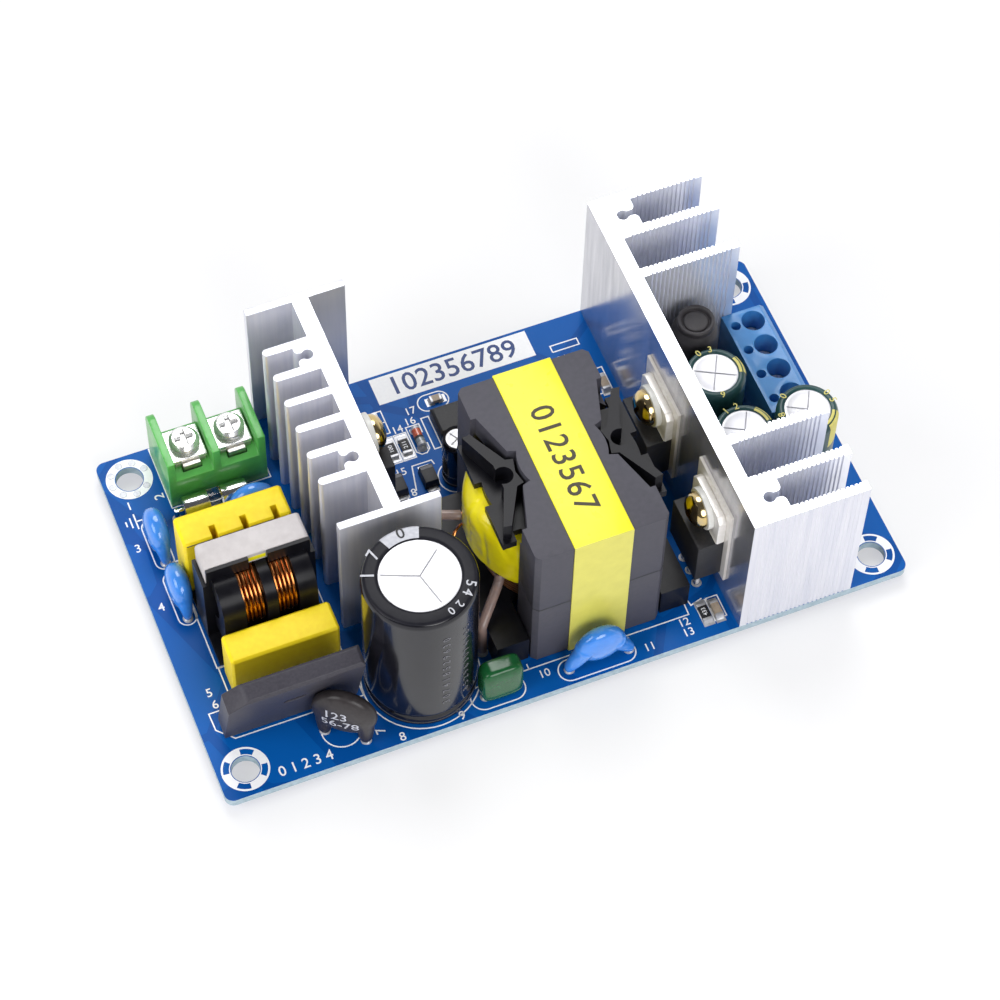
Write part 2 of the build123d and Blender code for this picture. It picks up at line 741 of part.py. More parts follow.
def rounded_mouths(outline, boss_end):
    """The corners where the channels' necks meet the bosses' faces, which are rounded."""
    on_face = [v for v in outline.vertices() if abs(v.X - boss_end) < press_clear]
    corners = []
    for vertex in on_face:
        for other in on_face:
            if abs(abs(vertex.Y - other.Y) - keyhole_neck) < press_clear:
                corners.append(vertex)
    return fillet(corners, keyhole_round)


def right_heatsink():
    """Comb of six fins across the whole board, with two screw channels between the outer fins."""
    half = board_width / 2
    base_end = right_face_x + right_base
    outline = Pos(right_face_x + right_base / 2, 0) * Rectangle(right_base, board_width)
    for side in (-1, 1):
        for step in right_fin_steps:
            y = side * (half - right_fin / 2 - step)
            outline += Pos(right_face_x + right_fin_reach / 2, y) * Rectangle(right_fin_reach, right_fin)
        boss_y = side * (half - right_fin / 2 - right_fin_steps[1] / 2)
        boss_end = right_face_x + right_boss_reach
        outline += Pos((base_end + boss_end) / 2, boss_y) * Rectangle(
            boss_end - base_end, right_fin_steps[1])
        outline -= keyhole(boss_end - keyhole_depth, boss_y, right_keyhole_r, boss_end + cut_over)
    sink = extrude(rounded_mouths(outline, boss_end), sink_height)
    for y in (rectifier_back_y, rectifier_front_y):
        sink -= Pos(right_face_x, y, package_hole_z) * round_along_x(
            tab_screw_r + press_clear, -cut_over, right_base + cut_over)
    nodes["right_heatsink"] = sink
    for side in (-1, 1):
        heatsink_pin(right_face_x + right_base / 2, side * (half - sink_pin_inset))


def left_heatsink():
    """Comb of six fins between two wider end fins, with two screw channels."""
    back = board_width / 2
    base_end = left_face_x - left_base
    length = back - left_front_y
    outline = Pos((left_face_x + base_end) / 2, (back + left_front_y) / 2) * Rectangle(left_base, length)
    fin_end = left_face_x - left_fin_reach
    for y in (back - left_outer_fin / 2, left_front_y + left_outer_fin / 2):
        right_end = left_face_x + left_outer_reach
        outline += Pos((fin_end + right_end) / 2, y) * Rectangle(right_end - fin_end, left_outer_fin)
    first_y = back - left_outer_fin / 2 - left_fin_first
    for i in range(left_fin_count):
        y = first_y - i * left_fin_pitch
        outline += Pos((fin_end + base_end) / 2 + left_fin / 4, y) * Rectangle(
            base_end - fin_end - left_fin / 2, left_fin)
        outline += Pos(fin_end + left_fin / 2, y) * Circle(left_fin / 2)
    boss_end = left_face_x - left_boss_reach
    for i in (0, left_fin_count - 2):
        boss_y = first_y - (i + 0.5) * left_fin_pitch
        outline += Pos((base_end + boss_end) / 2, boss_y) * Rectangle(base_end - boss_end, left_fin_pitch)
        outline -= keyhole(boss_end + keyhole_depth - left_keyhole_r / 2, boss_y, left_keyhole_r,
                           boss_end - cut_over)
    sink = extrude(rounded_mouths(outline, boss_end), sink_height)
    sink -= Pos(left_face_x, transistor_y, package_hole_z) * round_along_x(
        tab_screw_r + press_clear, -left_base - cut_over, cut_over)
    nodes["left_heatsink"] = sink
    for y in (left_front_y + sink_pin_inset, back - sink_pin_inset):
        heatsink_pin(left_face_x - left_base / 2, y)


heatsink_pins = []


def heatsink_pin(x, y):
    """A pin under a heatsink, soldered through the board."""
    drilled_points.append((x, y, sink_pin_r))
    joint_points.append((x, y))
    heatsink_pins.append(Pos(x, y, 0) * Cylinder(sink_pin_r, board_thick, align=hanging))


def bolted_package(place, y_of_face, base, name, pads, shoulders, screws):
    """Insulating pad, transistor, shoulder washer and screw, stacked outwards from the face."""
    tab_front = pad_thick + tab_thick
    pad = block(0, pad_thick, -pad_width / 2, pad_width / 2, pad_bottom, pad_top)
    bore = Pos(0, 0, package_hole_z)
    pad -= bore * round_along_x(tab_screw_r + loose_clear, -cut_over, pad_thick + cut_over)
    half = tab_width / 2
    body = block(pad_thick, tab_front, -half, half, package_bottom, tab_top)
    body = chamfer(body.edges().filter_by(Axis.X).group_by(Axis.Z)[-1], tab_corner)
    body += block(pad_thick, pad_thick + package_thick, -half, half, package_bottom, package_top)
    body -= bore * round_along_x(package_hole_r, 0, tab_front + cut_over)
    lead_x = pad_thick + package_lead_depth
    for i in (-1, 0, 1):
        body += block(lead_x - package_lead / 2, lead_x + package_lead / 2,
                      i * package_pitch - package_lead / 2, i * package_pitch + package_lead / 2,
                      0, package_bottom + cut_over)
    shoulder = round_along_x(shoulder_r, tab_front, tab_front + shoulder_thick)
    shoulder += round_along_x(shoulder_sleeve_r, tab_front - shoulder_sleeve, tab_front)
    shoulder -= round_along_x(tab_screw_r + press_clear, 0, 2 * tab_front + shoulder_thick)
    head_start = tab_front + shoulder_thick
    head = Rot(0, 90, 0) * Cylinder(tab_head_r, tab_head_height, align=standing)
    head = chamfer(head.edges().group_by(Axis.X)[-1], tab_head_edge)
    head -= Rot(0, 90, 0) * cross_recess(tab_head_height, tab_recess_reach, tab_recess_depth)
    screw = Pos(head_start, 0, 0) * head
    screw += round_along_x(tab_screw_r, tab_screw_short - base, head_start)
    nodes[name] = place * body
    pads.append(place * pad)
    shoulders.append(place * bore * shoulder)
    screws.append(place * bore * screw)
    at = place.position
    way = 1 if place.orientation.Z == 0 else -1
    for i in (-1, 0, 1):
        joint_points.append((at.X + way * lead_x, y_of_face + i * package_pitch))


def bolted_packages():
    pads = []
    shoulders = []
    screws = []
    place = Pos(left_face_x, transistor_y, 0)
    bolted_package(place, transistor_y, left_base, "switch_transistor", pads, shoulders, screws)
    for number, y in enumerate((rectifier_back_y, rectifier_front_y), 1):
        place = Pos(right_face_x, y, 0) * Rot(0, 0, 180)
        bolted_package(place, y, right_base, f"output_rectifier_{number}", pads, shoulders, screws)
    nodes["insulating_pads"] = pads
    nodes["shoulder_washers"] = shoulders
    nodes["heatsink_screws"] = screws


def notch_outline(grow):
    """Side notch of a core plate, seen from above, on the side of positive x."""
    edge = core_width / 2 + cut_over
    hub = notch_hub_r + grow
    waist = notch_waist + grow
    high = notch_half - grow
    low = notch_waist_half - grow * 0.6
    neck = notch_hub_half - grow * 0.6
    arc_x = (hub ** 2 - neck ** 2) ** 0.5
    shoulder = core_width / 2 - notch_step
    path = Polyline((arc_x, neck), (waist, low), (shoulder, high), (edge, high), (edge, -high),
                    (shoulder, -high), (waist, -low), (arc_x, -neck))
    arc = ThreePointArc((arc_x, -neck), (hub, 0), (arc_x, neck))
    return make_face(Wire([*path.edges(), arc]))


def transformer():
    """Core halves round a bobbin, the taped winding between its flanges, tape over all."""
    place = Pos(core_x, core_y, 0)
    inner_bottom = core_bottom + core_plate
    inner_top = core_top - core_plate
    middle = (core_bottom + core_top) / 2
    winding_outline = Pos(winding_shift, 0) * Ellipse(winding_half_x, winding_half_y)
    leg_cut = Pos(winding_shift, 0) * Ellipse(winding_half_x + core_clear, winding_half_y + core_clear)
    plate = Rectangle(core_width, core_length)
    plate = chamfer(plate.vertices(), core_corner)
    side_notches = notch_outline(0) + Rot(0, 0, 180) * notch_outline(0)
    leg_outline = plate - leg_cut
    leg_outline = Sketch() + list(leg_outline.faces().sort_by(SortBy.AREA)[-2:])
    post = Circle(core_post_r)
    half_height = middle - inner_bottom
    tip_ratio = (core_width / 2 - winding_shift) / (winding_half_x + core_clear)
    leg_tip_y = (winding_half_y + core_clear) * (1 - tip_ratio ** 2) ** 0.5 - core_clear
    lower = Pos(0, 0, core_bottom) * extrude(plate - side_notches, core_plate)
    lower += Pos(0, 0, inner_bottom) * extrude(leg_outline + post, half_height)
    upper = Pos(0, 0, inner_top) * extrude(plate - side_notches, core_plate)
    upper += Pos(0, 0, middle) * extrude(leg_outline + post, inner_top - middle)
    nodes["transformer_core_lower"] = place * lower
    nodes["transformer_core_upper"] = place * upper

    bore_r = core_post_r + bobbin_clear
    hub_r = bore_r + bobbin_wall
    low_z = inner_bottom + bobbin_clear
    high_z = inner_top - bobbin_clear
    flange = Circle(flange_r)
    ear_root = flange_r * 0.7
    core_side = core_width / 2 + bobbin_block_side_gap
    for turn in (0, 180):
        for side in (-1, 1):
            wide = Pos((ear_root + flange_ear) / 2, side * (flange_ear_start + leg_tip_y) / 2) * Rectangle(
                flange_ear - ear_root, leg_tip_y - flange_ear_start)
            outer = Pos((core_side + flange_ear) / 2, side * (flange_ear_start + flange_ear_end) / 2)
            outer *= Rectangle(flange_ear - core_side, flange_ear_end - flange_ear_start)
            flange += Rot(0, 0, turn) * (wide + outer)
    bobbin = Pos(0, 0, low_z) * extrude(Circle(hub_r), high_z - low_z)
    bobbin += Pos(0, 0, low_z) * extrude(flange, bobbin_flange)
    bobbin += Pos(0, 0, high_z - bobbin_flange) * extrude(flange, bobbin_flange)
    bobbin += block(-bobbin_block_left, -core_side, -bobbin_block_front, bobbin_block_back,
                    bobbin_foot, low_z + bobbin_flange)
    bobbin += block(core_side, bobbin_block_right, -bobbin_block_front, bobbin_block_back,
                    bobbin_foot, low_z + bobbin_flange)
    upper_half = [(notch_hub_r + bobbin_boss_gap, 0), bobbin_boss_point, bobbin_boss_nick,
                  bobbin_arm_inner, bobbin_arm_outer, bobbin_arm_root]
    lower_half = [(x, -y) for x, y in reversed(upper_half[1:])]
    boss = make_face(Polyline(*upper_half, *lower_half, close=True))
    boss -= Pos(bobbin_boss_hole_at, 0) * Circle(bobbin_boss_hole_r)
    boss_height = bobbin_boss_top - high_z + bobbin_flange
    boss = extrude(boss, boss_height)
    for turn in (0, 180):
        bobbin += Rot(0, 0, turn) * Pos(0, 0, high_z - bobbin_flange) * boss
    bobbin -= Cylinder(bore_r, 4 * core_top)
    nodes["transformer_bobbin"] = place * bobbin

    winding_bottom = low_z + bobbin_flange
    winding_top = high_z - bobbin_flange
    inner_outline = Pos(winding_shift, 0) * Ellipse(winding_half_x - winding_inset,
                                                    winding_half_y - winding_inset / 2)
    winding = Pos(0, 0, winding_step) * extrude(winding_outline, winding_top - winding_step)
    winding = fillet(winding.edges().group_by(Axis.Z)[-1], winding_top_round)
    winding = fillet(winding.edges().group_by(Axis.Z)[0], winding_foot_round)
    winding += Pos(0, 0, winding_bottom) * extrude(inner_outline, winding_step - winding_bottom)
    winding -= Cylinder(hub_r + press_clear, 4 * core_top)
    nodes["transformer_winding"] = place * winding

    core_box = Box(tape_width, core_length, core_top - core_bottom)
    tape = Box(tape_width, core_length + 2 * tape_thick, core_top - core_bottom + 2 * tape_thick)
    nodes["transformer_tape"] = place * Pos(0, 0, middle) * (tape - core_box)

    pins = []
    for x in (-(bobbin_block_left + core_side) / 2, (bobbin_block_right + core_side) / 2):
        for i in range(bobbin_pins):
            pin_y = (bobbin_block_back - bobbin_block_front) / 2
            pin_y += (i - (bobbin_pins - 1) / 2) * bobbin_pin_pitch
            pins.append(lead(core_x + x, core_y + pin_y, bobbin_foot, bobbin_pin_size))
    nodes["transformer_pins"] = pins


def flying_leads():
    """Two sleeved wires from the winding to the board, one in front and one behind."""
    winding_left = core_x + winding_shift - winding_half_x
    block_left = core_x - bobbin_block_left - sleeve_r - sleeve_gap
    front_foot = (block_left, core_y + front_lead_foot_y)
    front_x = winding_left + front_lead_in
    front_y = core_y + front_lead_y
    front = [(front_x, front_y, winding_step - press_clear),
             (front_x - sleeve_r / 4, front_y - sleeve_r / 4, winding_step - front_lead_drop),
             (block_left - 2 * sleeve_gap, front_foot[1], front_lead_knee), (*front_foot, 0)]
    rear_foot = (winding_left - rear_lead_reach, core_y + rear_lead_foot_y)
    rear = [(winding_left + rear_lead_in, core_y + rear_lead_y, rear_lead_height),
            (rear_foot[0], rear_foot[1] - rear_lead_fall, rear_lead_height - rear_lead_fall),
            (*rear_foot, 0)]
    leads = []
    for points, bend in ((front, front_lead_bend), (rear, rear_lead_bend)):
        path = FilletPolyline(*points, radius=bend)
        section = Plane(origin=path @ 0, z_dir=path % 0) * Circle(sleeve_r)
        leads.append(sweep(section, path=path))
    joint_points.extend([front_foot, rear_foot])
    nodes["flying_leads"] = leads


def controller_chip():
    """Small moulded chip with bent legs along both long sides."""
    body = Pos(0, 0, chip_lift) * Box(chip_size[0], chip_size[1], chip_size[2], align=standing)
    body = chamfer(body.edges().group_by(Axis.Z)[-1], chip_edge)
    for side in (-1, 1):
        edge = side * chip_size[1] / 2
        for i in range(chip_legs):
            x = (i - (chip_legs - 1) / 2) * chip_leg_pitch
            far = edge + side * chip_leg_reach
            near = edge - side * chip_leg_sink
            body += block(x - chip_leg_width / 2, x + chip_leg_width / 2, min(near, far), max(near, far),
                          0, chip_leg_thick)
    nodes["controller_chip"] = Pos(*chip_centre) * body


def surface_parts():
    """Ceramic chips, thick film resistors, a glass diode and two moulded diodes."""
    length, width, height = ceramic_sizes
    ceramics = []
    for x, y, turn in ceramic_places:
        ceramics.append(Pos(x, y, 0) * Rot(0, 0, turn) * Box(length, width, height, align=standing))
    nodes["ceramic_chips"] = ceramics
    length, width, height = resistor_sizes
    resistors = []
    for x, y, turn in resistor_places:
        resistors.append(Pos(x, y, 0) * Rot(0, 0, turn) * Box(length, width, height, align=standing))
    nodes["chip_resistors"] = resistors
    glass = Rot(90, 0, 0) * Cylinder(glass_diode_r, glass_diode_length)
    nodes["glass_diode"] = Pos(*glass_diode_centre, glass_diode_r) * glass
    diodes = []
    for x, y in block_diode_places:
        body = Box(*block_diode_size, align=standing)
        body = chamfer(body.edges().group_by(Axis.Z)[-1], block_diode_edge)
        diodes.append(Pos(x, y, 0) * body)
    nodes["surface_diodes"] = diodes


def output_inductor():
    """Wound drum in a shrunk sleeve whose top edge turns in over the drum."""
    r = output_inductor_r
    lip = output_inductor_lip_r
    top = output_inductor_height
    rim = lip - output_inductor_lip
    floor_z = top - output_inductor_inset
    profile = [(0, round_cap_lift), (r, round_cap_lift), (r, top - output_inductor_slope),
               (lip + output_inductor_lip / 2, top), (rim, top), (rim, floor_z), (0, floor_z)]
    centre_y = output_bay_half - output_inductor_gap - r
    body = Pos(output_inductor_x, centre_y) * turned(profile)
    for side in (-1, 1):
        body += lead(output_inductor_x, centre_y + side * output_inductor_pitch / 2, lead_sink)
    nodes["output_inductor"] = body


def build():
    mains_terminal()
    output_terminal()
    fuse()
    line_capacitors()
    disc_capacitors()
    line_choke()
    bridge_rectifier()
    can_capacitors()
    film_capacitor()
    right_heatsink()
    left_heatsink()
    nodes["heatsink_pins"] = heatsink_pins
    bolted_packages()
    transformer()
    flying_leads()
    controller_chip()
    surface_parts()
    output_inductor()
    circuit_board()
    solder_joints()


build()
os.makedirs("parts", exist_ok=True)
raised = Pos(0, 0, board_thick)
for name, shape in nodes.items():
    if isinstance(shape, list):
        whole = Compound(children=[raised * piece for piece in shape])
    else:
        whole = raised * shape
    export_step(whole, f"parts/{name}.step")
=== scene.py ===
import bpy
import bmesh
import math
from mathutils import Matrix, Vector, noise


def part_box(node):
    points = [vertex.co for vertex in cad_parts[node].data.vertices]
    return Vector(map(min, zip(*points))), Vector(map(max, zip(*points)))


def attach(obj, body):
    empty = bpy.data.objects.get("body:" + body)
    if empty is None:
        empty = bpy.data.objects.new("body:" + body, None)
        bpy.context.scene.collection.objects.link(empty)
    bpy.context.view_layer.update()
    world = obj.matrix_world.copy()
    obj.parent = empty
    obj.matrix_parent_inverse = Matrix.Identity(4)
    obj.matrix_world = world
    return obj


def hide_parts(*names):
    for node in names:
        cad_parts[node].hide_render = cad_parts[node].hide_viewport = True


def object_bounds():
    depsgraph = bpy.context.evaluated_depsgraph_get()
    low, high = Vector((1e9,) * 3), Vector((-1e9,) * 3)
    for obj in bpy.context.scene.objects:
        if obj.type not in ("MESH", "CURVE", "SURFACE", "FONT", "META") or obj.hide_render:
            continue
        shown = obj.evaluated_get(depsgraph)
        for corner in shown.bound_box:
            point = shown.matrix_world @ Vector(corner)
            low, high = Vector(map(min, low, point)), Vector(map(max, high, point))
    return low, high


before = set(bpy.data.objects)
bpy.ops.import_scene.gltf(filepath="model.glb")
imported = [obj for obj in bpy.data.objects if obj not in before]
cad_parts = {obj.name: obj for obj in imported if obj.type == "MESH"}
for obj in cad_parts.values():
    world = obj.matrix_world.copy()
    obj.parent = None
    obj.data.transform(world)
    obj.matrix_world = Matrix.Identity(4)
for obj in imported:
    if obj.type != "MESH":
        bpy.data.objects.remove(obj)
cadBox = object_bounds()
mm = 0.001
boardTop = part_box("circuit_board")[1].z  # heights below are counted from here, in millimetres
board = "board"  # the body that every fixed piece rides on
print("frame loaded")


def turned(place, degrees, axis="Z"):
    # a move to a place and a turn there, as one matrix
    return Matrix.Translation(place) @ Matrix.Rotation(math.radians(degrees), 4, axis)


def aimed(place, aim):
    # at a place and looking at an aim, for the camera and the lamps
    place = Vector(place)
    return (Matrix.Translation(place)
            @ (Vector(aim) - place).to_track_quat("-Z", "Y").to_matrix().to_4x4())


# camera at the photograph's angle; places in metres, roll in degrees, lens and sensor in millimetres
cameraSetup = {
    "place": (-0.109356, -0.253740, 0.449526),
    "aim": (0.001429, 0.002852, 0.0016),
    "roll": 1.82,
    "lens": 116.77,
    "sensor": 36.0,
    "near": 0.01,
    "far": 20.0,
}


def makeCamera(setup):
    data = bpy.data.cameras.new("studioCamera")
    data.lens = setup["lens"]
    data.sensor_width = setup["sensor"]
    data.clip_start = setup["near"]
    data.clip_end = setup["far"]
    camera = bpy.data.objects.new("studioCamera", data)
    camera.matrix_world = aimed(setup["place"], setup["aim"]) @ turned((0, 0, 0), setup["roll"])
    bpy.context.scene.collection.objects.link(camera)
    bpy.context.scene.camera = camera


makeCamera(cameraSetup)

# one dictionary for the light; energies in watts, places and sizes in metres
lightSetup = {
    "key": {"place": (0.10, 0.42, 0.78), "size": 0.50, "power": 3.6},
    "fill": {"place": (-0.70, -0.10, 0.50), "size": 0.60, "power": 3.5},
    "front": {"place": (0.05, -0.80, 0.46), "size": 0.60, "power": 4.6},
    "lampAim": (0.0, 0.0, 0.01),
    "worldLevel": 0.46,
    "room": (0.92, 0.93, 1.0),
    "darkSky": 0.12,
    "brightSide": (0.35, 0.70, -0.62),
    "fade": (-0.45, 0.35),
    "paper": (0.86, 0.86, 0.88),
    "floorWhite": 0.5,
    "floorHalf": 3.0,
}
white = (1.0, 1.0, 1.0)


def mathNode(tree, operation, first, second=None):
    # a maths node on sockets or plain numbers
    node = tree.nodes.new("ShaderNodeMath")
    node.operation = operation
    for socket, value in zip(node.inputs, (first, second)):
        if isinstance(value, float):
            socket.default_value = value
        elif value is not None:
            tree.links.new(value, socket)
    return node.outputs[0]


def mixNode(tree, share, first, second):
    # the first shader where share is 0, the second where it is 1
    node = tree.nodes.new("ShaderNodeMixShader")
    for socket, value in zip(node.inputs, (share, first, second)):
        tree.links.new(value, socket)
    return node.outputs[0]


def rangeNode(tree, value, low, high):
    node = tree.nodes.new("ShaderNodeMapRange")
    node.inputs["To Min"].default_value = low
    node.inputs["To Max"].default_value = high
    tree.links.new(value, node.inputs["Value"])
    return node


def bumpNode(tree, height, depth, strength):
    node = tree.nodes.new("ShaderNodeBump")
    node.inputs["Strength"].default_value = strength
    node.inputs["Distance"].default_value = depth
    tree.links.new(height, node.inputs["Height"])
    return node.outputs["Normal"]


def makeLights(setup):
    for name in ("key", "fill", "front"):
        one = setup[name]
        data = bpy.data.lights.new(name + "Lamp", "AREA")
        data.shape = "DISK"
        data.size = one["size"]
        data.energy = one["power"]
        lamp = bpy.data.objects.new(name + "Lamp", data)
        lamp.matrix_world = aimed(one["place"], setup["lampAim"])
        bpy.context.scene.collection.objects.link(lamp)


def backgroundNode(tree, color, strength):
    node = tree.nodes.new("ShaderNodeBackground")
    node.inputs["Color"].default_value = (*color, 1)
    node.inputs["Strength"].default_value = strength
    return node


def makeWorld(setup):
    world = bpy.data.worlds.new("studioWorld")
    bpy.context.scene.world = world
    world.use_nodes = True
    tree = world.node_tree
    tree.nodes.clear()
    plain = backgroundNode(tree, white, setup["worldLevel"])
    backdrop = backgroundNode(tree, white, 1.0)
    # what metal and gloss reflect: the white backdrop low down and behind, a dark room above
    room = backgroundNode(tree, setup["room"], 1.0)
    way = tree.nodes.new("ShaderNodeTexCoord")
    lean = tree.nodes.new("ShaderNodeVectorMath")
    lean.operation = "DOT_PRODUCT"
    lean.inputs[1].default_value = setup["brightSide"]
    tree.links.new(way.outputs["Generated"], lean.inputs[0])
    fade = rangeNode(tree, lean.outputs["Value"], setup["darkSky"], 1.0)
    fade.interpolation_type = "SMOOTHSTEP"
    fade.inputs["From Min"].default_value, fade.inputs["From Max"].default_value = setup["fade"]
    tree.links.new(fade.outputs["Result"], room.inputs["Strength"])
    path = tree.nodes.new("ShaderNodeLightPath")
    reflected = mixNode(tree, path.outputs["Is Glossy Ray"], plain.outputs[0], room.outputs[0])
    straight = mathNode(tree, "MAXIMUM", path.outputs["Is Camera Ray"], path.outputs["Is Transmission Ray"])
    out = tree.nodes.new("ShaderNodeOutputWorld")
    tree.links.new(mixNode(tree, straight, reflected, backdrop.outputs[0]), out.inputs["Surface"])


def makeFloor(setup):
    bm = bmesh.new()
    bmesh.ops.create_grid(bm, x_segments=1, y_segments=1, size=setup["floorHalf"])
    mesh = bpy.data.meshes.new("studioFloor")
    bm.to_mesh(mesh)
    bm.free()
    floor = bpy.data.objects.new("studioFloor", mesh)
    floor.location.z = cadBox[0][2]
    bpy.context.scene.collection.objects.link(floor)
    material = bpy.data.materials.new("studioFloor")
    material.use_nodes = True
    tree = material.node_tree
    tree.nodes.clear()
    paper = tree.nodes.new("ShaderNodeBsdfDiffuse")
    paper.inputs["Color"].default_value = (*setup["paper"], 1)
    glow = tree.nodes.new("ShaderNodeEmission")
    glow.inputs["Color"].default_value = (*white, 1)
    glow.inputs["Strength"].default_value = 1.0
    # camera, glossy and transmission rays see part of it as white, so metal and glass show it too
    path = tree.nodes.new("ShaderNodeLightPath")
    seen = mathNode(tree, "MAXIMUM", path.outputs["Is Camera Ray"], path.outputs["Is Glossy Ray"])
    seen = mathNode(tree, "MAXIMUM", seen, path.outputs["Is Transmission Ray"])
    share = mathNode(tree, "MULTIPLY", seen, setup["floorWhite"])
    out = tree.nodes.new("ShaderNodeOutputMaterial")
    tree.links.new(mixNode(tree, share, paper.outputs[0], glow.outputs[0]), out.inputs["Surface"])
    mesh.materials.append(material)


makeLights(lightSetup)
makeWorld(lightSetup)
makeFloor(lightSetup)
bpy.context.scene.view_settings.view_transform = "Standard"
print("studio made")

